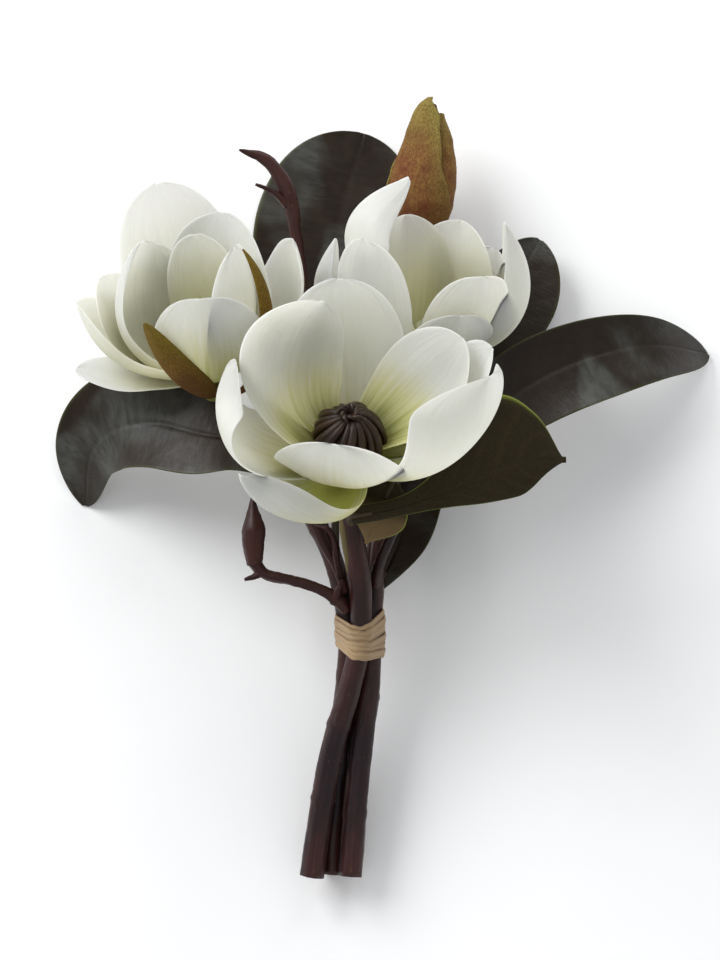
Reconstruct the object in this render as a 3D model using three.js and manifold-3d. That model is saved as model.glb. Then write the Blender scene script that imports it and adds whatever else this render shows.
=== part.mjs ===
// A hand-tied bunch of magnolia: three open blooms, a furred bud, seven leathery leaves and two bare twigs
// on three woody stems, bound with raffia. It lies on its back, blooms up, as it is laid down on a table.
//
// Everything is drawn in bunch space, in millimetres: x to the right, y from the cut ends towards the
// blooms, z out of the face of the bunch, with the origin in the middle of the tie. The last lines lay the
// bunch down.

import * as THREE from "three";
import { mergeVertices } from "three/addons/utils/BufferGeometryUtils.js";
import Module from "manifold-3d";

const wasm = await Module();
wasm.setup();

// ---- driving dimensions, mm and degrees ----

const GAP = 0.3; // between pieces that touch
const STEM_RADIUS = 5.2;
const STEM_PITCH = 2 * STEM_RADIUS + GAP; // between the three stems, where the tie holds them
const PETAL_THICK = 1.0;
const LEAF_THICK = 1.0;
const BRACT_THICK = 1.2;
const TIE_WALL = 1.8;
const STRAND_HIGH = 7.2; // of raffia, along the stems
const STRAND_BEVEL = 1;
const CUT_END_Y = -113; // the cut ends, below the tie
const LEAN = 11; // the bunch's face leans back this far from level when it lies down
const HEEL = new THREE.Vector3(-13.9, CUT_END_Y, -13.4); // the rim of the rear stem, which touches the table
const CENTRE = new THREE.Vector2(14.05, 79.48); // brings the middle of the outline over the origin

const rad = THREE.MathUtils.degToRad;
const at = (x, y, z) => new THREE.Vector3(x, y, z);
const mix = (a, b, t) => a + (b - a) * t;

// A point that the table holds up, in bunch space.
const onTable = (x, y, lift = 0) => at(x, y, HEEL.z - Math.tan(rad(LEAN)) * (y - HEEL.y) + lift);

// ---- solids ----

function solidOf(geometry) {
  const bare = new THREE.BufferGeometry().setAttribute("position", geometry.getAttribute("position"));
  bare.setIndex(geometry.index);
  const merged = mergeVertices(bare, 1e-4);
  return new wasm.Manifold(
    new wasm.Mesh({
      numProp: 3,
      vertProperties: new Float32Array(merged.attributes.position.array),
      triVerts: new Uint32Array(merged.index.array),
    }),
  );
}

// The largest body of a solid, as a geometry: what a cut leaves loose is dropped.
function geometryOf(solid) {
  const body = solid.decompose().reduce((a, b) => (b.volume() > a.volume() ? b : a));
  const mesh = body.getMesh();
  const geometry = new THREE.BufferGeometry();
  geometry.setAttribute("position", new THREE.BufferAttribute(mesh.vertProperties, 3));
  geometry.setIndex(new THREE.BufferAttribute(mesh.triVerts, 1));
  return geometry;
}

const union = (solids) => solids.reduce((a, b) => a.add(b));
const without = (solid, others) => others.reduce((a, b) => a.subtract(b), solid);

// ---- building blocks ----

// A round limb along a smooth curve, with one radius for each of its points.
function limb(points, radii, { sides = 10, steps = 16, swell = 0 } = {}) {
  const line = new THREE.CatmullRomCurve3(points, false, "centripetal");
  const frames = line.computeFrenetFrames(steps, false);
  const geometry = new THREE.CylinderGeometry(1, 1, 1, sides, steps);
  const position = geometry.getAttribute("position");
  for (let i = 0; i < position.count; i++) {
    const share = position.getY(i) + 0.5;
    const step = Math.round(share * steps);
    const along = line.getUtoTmapping(share) * (radii.length - 1);
    const k = Math.min(Math.floor(along), radii.length - 2);
    const radius = mix(radii[k], radii[k + 1], along - k) + swell;
    const p = line.getPointAt(share);
    p.addScaledVector(frames.binormals[step], position.getX(i) * radius);
    p.addScaledVector(frames.normals[step], position.getZ(i) * radius);
    position.setXYZ(i, p.x, p.y, p.z);
  }
  return solidOf(geometry);
}

// Half width along a blade, as a share of its widest: `neck` at the root, full at `belly`, then a tip that
// is round at `point` 0.5 and sharper towards 1. A `waist` over 1 keeps the lower part slender.
const outline = ({ neck, belly, point, waist = 1 }) => (v) =>
  v < belly
    ? neck + (1 - neck) * Math.sin((Math.PI / 2) * (v / belly)) ** waist
    : Math.max(0.05, (1 - ((v - belly) / (1 - belly)) ** 2) ** point);

// A thin blade bent round a midline. `sideAt(v, tangent)` is the direction of its width, and its margins
// turn up by `cup` degrees, the first at the root and the second at the tip. `skew` widens the side that
// `sideAt` points to and narrows the other. Both faces are split into triangles alike.
function blade({ pointAt, tangentAt, sideAt, half, shape, cup, skew = 0, thick, rows, cols, wave = 0 }) {
  const faces = [[], []];
  for (let i = 0; i <= rows; i++) {
    const v = 1 - (1 - i / rows) ** 1.5;
    const centre = pointAt(v);
    const tangent = tangentAt(v);
    const side = sideAt(v, tangent);
    const up = new THREE.Vector3().crossVectors(tangent, side);
    const curl = rad(mix(cup[0], cup[1], v));
    for (let j = 0; j <= cols; j++) {
      const u = (2 * j) / cols - 1;
      const width = half * shape(v) * (1 + skew * u * THREE.MathUtils.smoothstep(v, 0.2, 0.7));
      const turn = Math.max(Math.abs(curl), 1e-3) * Math.sign(curl || 1);
      const ripple = wave * Math.sin(9 * v + 2 * Math.sign(u)) * u * u * v;
      const p = centre.clone();
      p.addScaledVector(side, (width * Math.sin(turn * u)) / turn);
      p.addScaledVector(up, (width * (1 - Math.cos(turn * u))) / turn + ripple);
      const normal = up.clone().multiplyScalar(Math.cos(turn * u));
      normal.addScaledVector(side, -Math.sin(turn * u));
      faces[0].push(p.clone().addScaledVector(normal, thick / 2));
      faces[1].push(p.clone().addScaledVector(normal, -thick / 2));
    }
  }
  const stride = cols + 1;
  const count = faces[0].length;
  const index = [];
  for (let i = 0; i < rows; i++) {
    for (let j = 0; j < cols; j++) {
      const a = i * stride + j;
      const b = a + 1;
      const c = b + stride;
      const d = a + stride;
      index.push(a, b, c, a, c, d);
      index.push(count + a, count + c, count + b, count + a, count + d, count + c);
    }
  }
  const rim = [];
  for (let j = 0; j < cols; j++) rim.push(j);
  for (let i = 0; i < rows; i++) rim.push(i * stride + cols);
  for (let j = cols; j > 0; j--) rim.push(rows * stride + j);
  for (let i = rows; i > 0; i--) rim.push(i * stride);
  rim.forEach((a, k) => {
    const b = rim[(k + 1) % rim.length];
    index.push(a, count + a, count + b, a, count + b, b);
  });
  const geometry = new THREE.BufferGeometry().setFromPoints([...faces[0], ...faces[1]]);
  geometry.setIndex(index);
  const solid = solidOf(geometry);
  if (solid.volume() > 0) return solid;
  for (let k = 0; k < index.length; k += 3) [index[k + 1], index[k + 2]] = [index[k + 2], index[k + 1]];
  geometry.setIndex(index);
  return solidOf(geometry);
}

// ---- blooms ----

// A bloom's own frame: its heart, the axis that it opens along, and the two directions across the axis. Round
// the axis, 0 degrees is towards the right of the bunch, 90 towards its top and 270 towards its face.
function bloomFrame(heart, axis) {
  const a = axis.clone().normalize();
  const top = at(0, 1, 0).addScaledVector(a, -a.y).normalize();
  const right = new THREE.Vector3().crossVectors(top, a);
  return { heart, axis: a, top, right };
}

// The direction out of a bloom's axis at an azimuth in degrees.
const outward = ({ top, right }, turn) =>
  right.clone().multiplyScalar(Math.cos(rad(turn))).addScaledVector(top, Math.sin(rad(turn)));

// One petal. Its root stands at the azimuth `turn` and its tip at `turn + swing`, `reach` out from the axis
// and `high` up along it. It leaves the heart `from` degrees off the axis and ends `to` degrees off it.
const PETAL = {
  swing: 0, from: 82, to: 16, cup: [50, 35], twist: 0, skew: 0, neck: 0.3, belly: 0.6, point: 0.45, root: 2,
  rise: 0, bow: 0.42, thick: PETAL_THICK, rows: 5, cols: 3,
};

function petal(bloom, given) {
  const row = { ...PETAL, ...given };
  const { turn, swing, reach, high, root, rise } = row;
  const pull = row.bow * Math.hypot(reach - root, high - rise);
  const leave = rad(row.from);
  const end = rad(row.to);
  const bend = new THREE.CubicBezierCurve(
    new THREE.Vector2(root, rise),
    new THREE.Vector2(root + pull * Math.sin(leave), rise + pull * Math.cos(leave)),
    new THREE.Vector2(reach - pull * Math.sin(end), high - pull * Math.cos(end)),
    new THREE.Vector2(reach, high),
  );
  const pointAt = (v) => {
    const { x, y } = bend.getPoint(v);
    const out = outward(bloom, turn + swing * v);
    return bloom.heart.clone().addScaledVector(out, x).addScaledVector(bloom.axis, y);
  };
  const tangentAt = (v) => pointAt(Math.min(1, v + 0.01)).sub(pointAt(Math.max(0, v - 0.01))).normalize();
  const sideAt = (v, tangent) => {
    const across = new THREE.Vector3().crossVectors(bloom.axis, outward(bloom, turn + swing * v));
    across.addScaledVector(tangent, -across.dot(tangent)).normalize();
    return across.applyAxisAngle(tangent, rad(row.twist * v));
  };
  return blade({ ...row, pointAt, tangentAt, sideAt, half: row.wide / 2, shape: outline(row) });
}

// The green base that the petals sit on, with the short neck that the stem meets.
const NECK = 13;
function base(bloom, swell = 0) {
  const along = (d) => bloom.heart.clone().addScaledVector(bloom.axis, d);
  return limb([along(-NECK), along(-7), along(-1), along(4)], [5, 6.5, 10, 7], { steps: 4, swell });
}

const bloomSolid = (bloom, petals) => union([base(bloom), ...petals.map((row) => petal(bloom, row))]);

// The cone of carpels in a bloom's heart, `ribs` of them winding up it.
function cone(bloom, profile, { ribs = 0, depth = 0, wind = 0 } = {}) {
  const points = profile.map(([r, h]) => new THREE.Vector2(r, h));
  const geometry = new THREE.LatheGeometry(points, ribs ? ribs * 2 : 12);
  const position = geometry.getAttribute("position");
  const spin = new THREE.Quaternion().setFromUnitVectors(at(0, 1, 0), bloom.axis);
  for (let i = 0; i < position.count; i++) {
    const p = at(position.getX(i), position.getY(i), position.getZ(i));
    if (ribs && p.y > profile[1][1] + 1) {
      const angle = Math.atan2(p.z, p.x) * ribs;
      const swell = 1 + (depth * Math.cos(angle)) / Math.max(6, Math.hypot(p.x, p.z));
      p.applyAxisAngle(at(0, 1, 0), rad(wind) * p.y);
      p.x *= swell;
      p.z *= swell;
    }
    p.applyQuaternion(spin).add(bloom.heart);
    position.setXYZ(i, p.x, p.y, p.z);
  }
  return solidOf(geometry);
}

const frontBloom = bloomFrame(at(-5.6, 88, 38), at(0.03, 0.66, 0.75));
const leftBloom = bloomFrame(at(-71, 126, -2), at(-0.16, 0.85, 0.5));
const rightBloom = bloomFrame(at(30, 134, -22), at(0.06, 0.93, 0.36));

const frontPetals = [
  { turn: 176, swing: -70, reach: 46, high: 58, from: 72, to: -15, wide: 61, cup: [55, 40], twist: -15,
    skew: 0.1, neck: 0.44, belly: 0.62, point: 0.4, rise: 2 },
  { turn: 92, swing: 2, reach: 57, high: 60, from: 88, wide: 60, cup: [35, 15] },
  { turn: 28, swing: -3, reach: 58, high: 53, from: 70, wide: 58, rise: 3 },
  { turn: 14, swing: 2, reach: 68, high: 53, from: 98, to: 24, wide: 44 },
  { turn: 322, swing: 24, reach: 64, high: 72, from: 95, to: -15, wide: 68, cup: [65, 70], twist: -27,
    skew: -0.24, belly: 0.78, point: 0.36, rise: 1 },
  { turn: 265, swing: -8, reach: 35, high: 46, from: 115, to: -18, wide: 64, cup: [55, 20], point: 0.4,
    rise: 1 },
  { turn: 210, swing: -42, reach: 53, high: 51, from: 90, to: -45, bow: 0.5, wide: 62, cup: [60, 30],
    skew: 0.4, rise: 1 },
  { turn: 270, swing: -56, reach: 60, high: 24, from: 116, to: 10, bow: 0.5, wide: 56, cup: [75, 60],
    twist: 16 },
];

const leftPetals = [
  { turn: 290, swing: 8, reach: 30, high: 57, from: 90, to: -6, wide: 58, twist: -18, point: 0.38,
    rise: 2 },
  { turn: 186, swing: -38, reach: 34, high: 65, from: 95, to: -28, bow: 0.5, wide: 72, cup: [80, 68],
    skew: 0.15, belly: 0.66, point: 0.38, rise: 2 },
  { turn: 338, swing: 20, reach: 25, high: 70, from: 66, to: -8, wide: 52, rise: 2 },
  { turn: 92, swing: 4, reach: 20, high: 67, from: 66, to: -6, wide: 40, rise: 2 },
  { turn: 69, swing: 4, reach: 34, high: 72, wide: 68 },
  { turn: 114, swing: 6, reach: 49, high: 84, from: 100, to: 5, bow: 0.6, wide: 58, cup: [40, 25],
    twist: -10, neck: 0.2, belly: 0.76 },
  { turn: 174, swing: -6, reach: 52, high: 50, from: 95, wide: 52 },
  { turn: 194, swing: -12, reach: 60, high: 44, to: 10, wide: 58, cup: [70, 60], twist: 10 },
  { turn: 200, swing: -7, reach: 64, high: 14, from: 92, to: 72, wide: 27, cup: [35, 30], twist: -12 },
  { turn: 37, reach: 53, high: 56, to: -5, wide: 54 },
];

const rightPetals = [
  { turn: 188, swing: -12, reach: 12, high: 92, from: 40, to: -65, bow: 0.6, wide: 58, cup: [70, 55],
    twist: 10, point: 0.6, rise: 1 },
  { turn: 208, swing: 6, reach: 43, high: 69, from: 108, to: 0, wide: 44, cup: [35, 30], twist: 16,
    skew: 0.12, belly: 0.66, rise: 1 },
  { turn: 108, swing: -2, reach: 28, high: 67, wide: 50, point: 0.5, rise: 2 },
  { turn: 52, reach: 32, high: 65, to: 6, wide: 54, point: 0.5, rise: 2 },
  { turn: 344, swing: 9, reach: 35, high: 73, from: 84, to: -42, bow: 0.56, wide: 58, cup: [75, 65],
    point: 0.7, rise: 1 },
  { turn: 35, reach: 45, high: 51, wide: 50, rise: 1 },
  { turn: 302, swing: -8, reach: 45, high: 57, wide: 48, cup: [50, 45], twist: -16, rise: 2 },
  { turn: 286, swing: -4, reach: 43, high: 38, wide: 46, twist: -6 },
  { turn: 170, swing: -8, reach: 46, high: 58, to: -35, bow: 0.56, wide: 54, cup: [75, 60], point: 0.65 },
];

// ---- leaves ----

// A leaf along a line of points, its upper face turned to `face` at the root and to `faceEnd` at the tip.
const LEAF = {
  cup: [14, 14], neck: 0.1, belly: 0.55, point: 0.6, wave: 0, thick: LEAF_THICK, rows: 8, cols: 4,
};

function leafBlade(given) {
  const row = { ...LEAF, faceEnd: given.face, ...given };
  const line = new THREE.CatmullRomCurve3(row.points, false, "catmullrom", 0.5);
  const pointAt = (v) => line.getPoint(v);
  const tangentAt = (v) => line.getTangent(v);
  const sideAt = (v, tangent) =>
    new THREE.Vector3().crossVectors(row.face.clone().lerp(row.faceEnd, v), tangent).normalize();
  return blade({ ...row, pointAt, tangentAt, sideAt, half: row.wide / 2, shape: outline(row) });
}

// A leaf with the stalk that carries it, cut clear of the stems that it grows on.
function leaf(row, stalk, keepClear) {
  const root = row.points[0];
  const ahead = row.points[1].clone().sub(root).normalize();
  const stalkPoints = [...stalk, root, root.clone().addScaledVector(ahead, 9)];
  const radii = stalkPoints.map((_, i) => mix(2.1, 1.0, i / (stalkPoints.length - 1)));
  return without(leafBlade(row).add(limb(stalkPoints, radii, { sides: 8, steps: 9 })), keepClear);
}

// ---- stems, held in a triangle by the tie ----

const BUNDLE = STEM_PITCH / Math.sqrt(3); // from the bundle's middle to each stem's
const FRONT = at(0, 0, BUNDLE);
const LEFT = at(-STEM_PITCH / 2, 0, -BUNDLE / 2);
const RIGHT = at(STEM_PITCH / 2, 0, -BUNDLE / 2);

const neckOf = (bloom, d) => bloom.heart.clone().addScaledVector(bloom.axis, -NECK - d);
const stemRoutes = {
  stem_front: {
    points: [
      at(-23, CUT_END_Y, 2), at(-14.5, -58, 4.2), at(-4.2, -20, 6.2), FRONT, at(0.4, 20, 7.4),
      at(-1.8, 42, 10), neckOf(frontBloom, 9), neckOf(frontBloom, GAP),
    ],
    radii: [5.9, 5.6, 5.3, 5.2, 5.3, 5.3, 5.1, 5],
  },
  stem_left: {
    points: [
      at(-13.9, CUT_END_Y, -7.5), at(-10.3, -60, -7.4), at(-6.4, -20, -4.6), LEFT, at(-7.6, 18, -3.4),
      at(-13.5, 40, -4), at(-29, 68, -5), neckOf(leftBloom, 10), neckOf(leftBloom, GAP),
    ],
    radii: [5.9, 5.6, 5.3, 5.2, 5.0, 4.7, 4.6, 4.8, 5],
  },
  stem_right: {
    points: [
      at(-4.8, CUT_END_Y, 1), at(-0.4, -60, -0.6), at(4.4, -20, -2.6), RIGHT, at(6.2, 18, -5),
      at(8, 42, -10), at(17, 80, -22), neckOf(rightBloom, 10), neckOf(rightBloom, GAP),
    ],
    radii: [5.9, 5.6, 5.3, 5.2, 5.0, 4.8, 4.6, 4.8, 5],
  },
};
const stem = (name, swell = 0) =>
  limb(stemRoutes[name].points, stemRoutes[name].radii, { sides: 10, steps: 18, swell });

// The branch to the bud grows from the right stem.
const budBase = at(30.5, 192, -50);
const budAxis = at(0.02, 1, -0.03).normalize();
const budBranch = (swell = 0) =>
  limb(
    [
      at(8, 44, -11), at(9, 80, -30), at(12, 122, -47), at(14, 152, -56), at(22, 172, -58),
      budBase.clone().addScaledVector(budAxis, -9), budBase.clone().addScaledVector(budAxis, -GAP),
    ],
    [3.8, 3.6, 3.4, 3.4, 3.6, 4.2, 4.4],
    { sides: 8, steps: 16, swell },
  );

// A short shoot of the right stem, and a narrow strip of green bark that clasps the front one.
const leafShoot = (swell = 0) =>
  limb(
    [at(6.5, 24, -5), at(9, 36, 3), at(15, 50, 11), at(20, 60, 14), at(22, 67, 15)],
    [3.2, 2.7, 2.2, 2.0, 1.8],
    { sides: 8, steps: 8, swell },
  );
const stipule = (swell = 0) =>
  limb(
    [at(-8.6, 62, 18), at(-7.8, 54, 15.5), at(-6.2, 44, 12.4), at(-5.2, 36, 10.2), at(-4.4, 29, 8.6)],
    [1.4, 2.0, 2.1, 1.8, 1.2],
    { sides: 6, steps: 6, swell },
  );

const stemClear = [
  ...Object.keys(stemRoutes).map((name) => stem(name, GAP)),
  budBranch(GAP),
  leafShoot(GAP),
  stipule(GAP),
  base(leftBloom, GAP),
];

// ---- bud: a lathed body with three furred scales lapping round it ----

function budSolid() {
  const profile = [
    [0, 0], [4.6, 0], [10, 8], [14, 20], [15.6, 32], [14.6, 44], [11.4, 56], [7.6, 66], [4.6, 72], [0, 75],
  ];
  const geometry = new THREE.LatheGeometry(profile.map(([r, h]) => new THREE.Vector2(r, h)), 24);
  const position = geometry.getAttribute("position");
  const spin = new THREE.Quaternion().setFromUnitVectors(at(0, 1, 0), budAxis);
  for (let i = 0; i < position.count; i++) {
    const p = at(position.getX(i), position.getY(i), position.getZ(i));
    const angle = THREE.MathUtils.euclideanModulo(Math.atan2(p.z, p.x) + 0.02 * p.y, (2 * Math.PI) / 3);
    const lap = 1 + 0.09 * (angle / ((2 * Math.PI) / 3) - 0.5);
    p.x *= lap;
    p.z *= lap;
    p.applyQuaternion(spin).add(budBase);
    position.setXYZ(i, p.x, p.y, p.z);
  }
  return solidOf(geometry);
}

// ---- twigs ----

const twigTop = without(
  union([
    limb(
      [
        at(-6.5, 22, 1.5), at(-10.5, 34, 1.6), at(-17, 46, 4), at(-22, 58, 4.4), at(-26, 74, 0),
        at(-28, 98, -9), at(-28, 130, -18), at(-29, 175, -26), at(-32, 200, -27), at(-36, 219, -27),
        at(-46, 233, -26), at(-59, 238, -24),
      ],
      [2.4, 2.6, 2.7, 2.7, 2.6, 2.6, 2.6, 2.6, 2.9, 4.0, 2.8, 0.5],
      { sides: 8, steps: 22 },
    ),
    limb(
      [at(-21.5, 55, 7), at(-15, 53, 8.5), at(-12, 48, 8.5), at(-11, 40, 6.6), at(-9.5, 30, 3)],
      [0.8, 1.4, 1.7, 1.8, 1.8],
      { sides: 6, steps: 8 },
    ),
    limb([at(-35, 211, -27), at(-42, 217, -25), at(-51, 221, -23)], [2.6, 1.5, 0.7], { sides: 6, steps: 5 }),
    limb([at(-30, 186, -26), at(-36, 191, -25), at(-40, 192, -24)], [2, 1.5, 0.7], { sides: 6, steps: 4 }),
  ]),
  stemClear,
);

const twigLow = without(
  union([
    limb(
      [at(-6, 14, 4), at(-10, 19, 6), at(-18, 24, 8), at(-33, 29, 9), at(-46, 32.5, 9), at(-50.5, 38, 9)],
      [3, 3.4, 2.6, 2.3, 2.6, 3.2],
      { sides: 8, steps: 12 },
    ),
    limb(
      [at(-50.5, 36, 9), at(-50.6, 44, 9), at(-50.6, 53, 9), at(-50.8, 61, 9), at(-51, 69, 9)],
      [3.4, 5.0, 5.8, 3.2, 0.8],
      { sides: 8, steps: 8 },
    ),
    limb([at(-46, 33, 9), at(-51, 30.5, 10), at(-55, 29.4, 11)], [2.2, 1.4, 0.6], { sides: 6, steps: 4 }),
    limb([at(-12, 18, 6), at(-11, 23, 9), at(-9, 27, 11)], [2.6, 2.4, 1.0], { sides: 6, steps: 4 }),
  ]),
  stemClear,
);

// ---- tie: raffia strands wound round the stems ----

function strand(y, pitch, roll) {
  const shape = new THREE.Shape();
  const corner = STEM_RADIUS + GAP + TIE_WALL - STRAND_BEVEL;
  for (const [centre, middle] of [[FRONT, 90], [LEFT, 210], [RIGHT, 330]])
    shape.absarc(centre.x, centre.z, corner, rad(middle - 60), rad(middle + 60), false);
  const depth = STRAND_HIGH - 2 * STRAND_BEVEL;
  const geometry = new THREE.ExtrudeGeometry(shape, {
    depth,
    curveSegments: 3,
    bevelThickness: STRAND_BEVEL,
    bevelSize: STRAND_BEVEL,
    bevelSegments: 1,
  });
  geometry.translate(0, 0, -depth / 2).rotateX(Math.PI / 2);
  geometry.rotateX(rad(pitch)).rotateZ(rad(roll)).translate(0, y, 0);
  return solidOf(geometry);
}

// ---- bracts: the furred scales that the petals burst out of ----

const lowBract = { turn: 275, swing: -30, reach: 34, high: 47, from: 54, to: 8, wide: 23, point: 0.55 };
const highBract = { turn: 325, swing: 26, reach: 31, high: 71, to: -40, wide: 13 };
const frontBract = { turn: 244, root: 6.5, rise: -9, reach: 26, high: -19, from: 100, to: 125, wide: 18 };
const BRACT = { thick: BRACT_THICK, neck: 0.5, belly: 0.4, point: 0.8, root: 9.5, rise: -6, cols: 4 };
const bract = (bloom, row) => petal(bloom, { ...BRACT, ...row });

// ---- the pieces ----

const colours = {
  petal: [0xf2f1e9, 0.55],
  leaf: [0x3a382c, 0.45],
  underside: [0x4a4030, 0.7],
  stem: [0x3d2b2b, 0.35],
  twig: [0x4a2a24, 0.6],
  fur: [0x8a5a28, 0.9],
  carpel: [0x35201a, 0.4],
  young: [0xdfe0c8, 0.6],
  raffia: [0xc3a57e, 0.8],
};

const bunch = new THREE.Group();
function place(name, solid, finish) {
  const [color, roughness] = colours[finish];
  const geometry = geometryOf(solid);
  geometry.computeVertexNormals();
  const mesh = new THREE.Mesh(geometry, new THREE.MeshStandardMaterial({ color, roughness, metalness: 0 }));
  mesh.name = name;
  bunch.add(mesh);
}

place("stem_front", stem("stem_front").add(stipule()), "stem");
place("stem_left", stem("stem_left"), "stem");
place("stem_right", union([stem("stem_right"), budBranch(), leafShoot()]), "stem");
place("twig_top", twigTop, "twig");
place("twig_low", twigLow, "twig");
const strands = [strand(9, 22, 5), strand(4.6, 19, 1), strand(0.4, 16, -7), strand(-3, 14, -13)];
place("tie", without(union(strands), stemClear), "raffia");
place("bud", budSolid(), "fur");

const seedCone = [
  [0, 4.4], [4, 4.4], [13, 8.4], [16.5, 11.5], [15.4, 17], [11, 22.5], [6, 26.5], [3.4, 30], [0, 31],
];
const youngCone = [[0, 4.4], [4, 4.4], [5.4, 9], [5.2, 22], [3.6, 34], [0, 37]];
const shortCone = youngCone.map(([r, h]) => [r, h * 0.6]);
place("cone_front", cone(frontBloom, seedCone, { ribs: 14, depth: 0.8, wind: 4 }), "carpel");
place("cone_left", cone(leftBloom, youngCone), "young");
place("cone_right", cone(rightBloom, shortCone), "young");

// The room that a cone takes up in its bloom, with the gap round it.
const roomFor = (profile, swell) =>
  profile.map(([r, h], i) => {
    const inside = i > 0 && i < profile.length - 1;
    return [r + (inside ? swell : 0), h + (i < 2 ? -GAP : 2 * GAP)];
  });
const bractClear = (row) => ({ ...row, thick: BRACT_THICK + 2 * GAP, wide: row.wide + 2 * GAP });
place(
  "bloom_front",
  without(bloomSolid(frontBloom, frontPetals), [
    cone(frontBloom, roomFor(seedCone, 2 + GAP)),
    bract(frontBloom, bractClear(frontBract)),
  ]),
  "petal",
);
place(
  "bloom_left",
  without(bloomSolid(leftBloom, leftPetals), [
    cone(leftBloom, roomFor(youngCone, GAP)),
    bract(leftBloom, bractClear(lowBract)),
    bract(leftBloom, bractClear(highBract)),
  ]),
  "petal",
);
place(
  "bloom_right",
  without(bloomSolid(rightBloom, rightPetals), [cone(rightBloom, roomFor(shortCone, GAP))]),
  "petal",
);

place("bract_left_low", bract(leftBloom, lowBract), "fur");
place("bract_left_high", bract(leftBloom, highBract), "fur");
place("bract_front", bract(frontBloom, frontBract), "fur");

const leaves = {
  leaf_left: {
    points: [
      at(-38, 86, 0), at(-58, 95.5, 3), at(-77, 99, -1), at(-98, 104, -11), at(-118, 102, -22),
      at(-132, 90, -33), onTable(-136, 64, 0.45),
    ],
    face: at(0, 0.5, 1), faceEnd: at(-0.5, -0.1, 0.8), wide: 51, cup: [14, 20], neck: 0.4, belly: 0.58,
    skew: -0.12, wave: 1.2,
    stalk: [at(-26, 66, -5), at(-32, 75, -2)],
  },
  leaf_right: {
    points: [
      at(18, 77, 1), at(41, 93, 0), at(65, 111, -5), at(89, 127, -10), at(116, 138, -18),
      at(145, 143, -32),
      onTable(174, 140, 1.17),
    ],
    face: at(-0.1, 0.15, 1), faceEnd: at(0.3, 0.3, 0.9), wide: 44, cup: [16, 18], belly: 0.5, point: 0.5,
    skew: -0.12, wave: 1.2,
    stalk: [at(8, 44, -9), at(11, 62, -3)],
  },
  leaf_lower_right: {
    points: [
      at(-3, 60, 27), at(12, 62.5, 29), at(28, 67, 31), at(48, 74.5, 33), at(67, 82, 33.5),
      at(82, 85.6, 31), at(97, 86, 26),
    ],
    face: at(-0.2, -0.3, 1), faceEnd: at(0.1, -0.1, 1), wide: 50, cup: [-14, -8], neck: 0.18, belly: 0.7,
    point: 1.5, waist: 7, skew: 0.4,
    stalk: [at(-4, 56, 17), at(-5, 59, 23)],
    finish: "underside",
  },
  leaf_small: {
    points: [at(15, 76, 16.5), at(12.5, 69, 19), at(9, 60.5, 21), at(6, 53.5, 20.5), at(2.8, 46.5, 19)],
    face: at(-0.1, 0, 1), wide: 30, cup: [-12, -6], neck: 0.3, belly: 0.5, point: 0.85,
    stalk: [at(-3, 70, 20), at(7, 77, 16)],
    finish: "underside",
  },
  leaf_low_back: {
    points: [
      at(9, 24, -9), at(14, 36, -13), at(20, 50, -17), at(25, 66, -21), at(31, 84, -26), at(38, 104, -32),
    ],
    face: at(0, 0, 1), wide: 30, neck: 0.12,
    stalk: [at(6, 12, -5), at(7, 18, -6)],
  },
  leaf_upper_right: {
    points: [at(44, 118, -40), at(60, 146, -46), at(76, 173, -52), at(90, 197, -60)],
    face: at(0, 0, 1), wide: 46, neck: 0.2, belly: 0.5, point: 0.55, skew: -0.15,
    stalk: [at(16, 76, -22), at(30, 98, -34)],
  },
  leaf_back: {
    points: [
      at(-12, 112, -48), at(-14, 148, -62), at(-14, 184, -70), at(-8, 219, -77), onTable(2, 253, 0.52),
    ],
    face: at(0, 0.15, 1), wide: 84, cup: [8, 6], belly: 0.62, point: 0.5,
    stalk: [at(-12, 42, -8), at(-12, 78, -30)],
  },
};
for (const [name, { stalk, finish = "leaf", ...row }] of Object.entries(leaves))
  place(name, leaf(row, stalk, stemClear), finish);

// ---- laid down ----

const tilt = rad(LEAN);
bunch.rotation.x = tilt;
bunch.position.set(-CENTRE.x, -CENTRE.y, -(HEEL.y * Math.sin(tilt) + HEEL.z * Math.cos(tilt)));

const magnolia = new THREE.Group();
magnolia.add(bunch);

export default magnolia;
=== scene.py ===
"""A hand-tied bunch of magnolia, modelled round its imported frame: blooms, bud, leaves, twigs, stems and tie.

Sizes are in millimetres in bunch space: x to the right, y from the cut ends to the blooms, z out of the face
of the bunch, with the origin in the middle of the tie. laid_down() brings them into the row frame, in metres.
"""

import math

import bmesh
import bpy
import numpy as np
from bpy.props import FloatProperty, FloatVectorProperty, IntProperty, PointerProperty
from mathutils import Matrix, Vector, noise


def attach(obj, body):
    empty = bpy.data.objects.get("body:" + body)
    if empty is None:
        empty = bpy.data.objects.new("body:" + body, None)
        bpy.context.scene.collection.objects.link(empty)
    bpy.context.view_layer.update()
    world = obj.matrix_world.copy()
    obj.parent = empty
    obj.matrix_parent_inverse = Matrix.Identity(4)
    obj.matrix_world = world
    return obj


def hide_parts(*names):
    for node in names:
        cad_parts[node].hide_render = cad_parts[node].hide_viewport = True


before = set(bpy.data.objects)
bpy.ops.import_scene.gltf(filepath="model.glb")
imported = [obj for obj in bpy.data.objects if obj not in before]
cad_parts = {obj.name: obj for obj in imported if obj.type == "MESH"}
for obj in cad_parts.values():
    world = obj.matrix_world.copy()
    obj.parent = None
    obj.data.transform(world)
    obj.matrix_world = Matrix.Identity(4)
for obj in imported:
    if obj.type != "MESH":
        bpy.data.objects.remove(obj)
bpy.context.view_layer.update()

bl_info = {
    "name": "Tied magnolia bunch",
    "version": (1, 0, 0),
    "blender": (4, 5, 0),
    "location": "3D View > Sidebar > Magnolia",
    "description": "Builds a tied bunch of magnolia from its blooms, bud, leaves, twigs and stems",
    "category": "Add Mesh",
}

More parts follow.
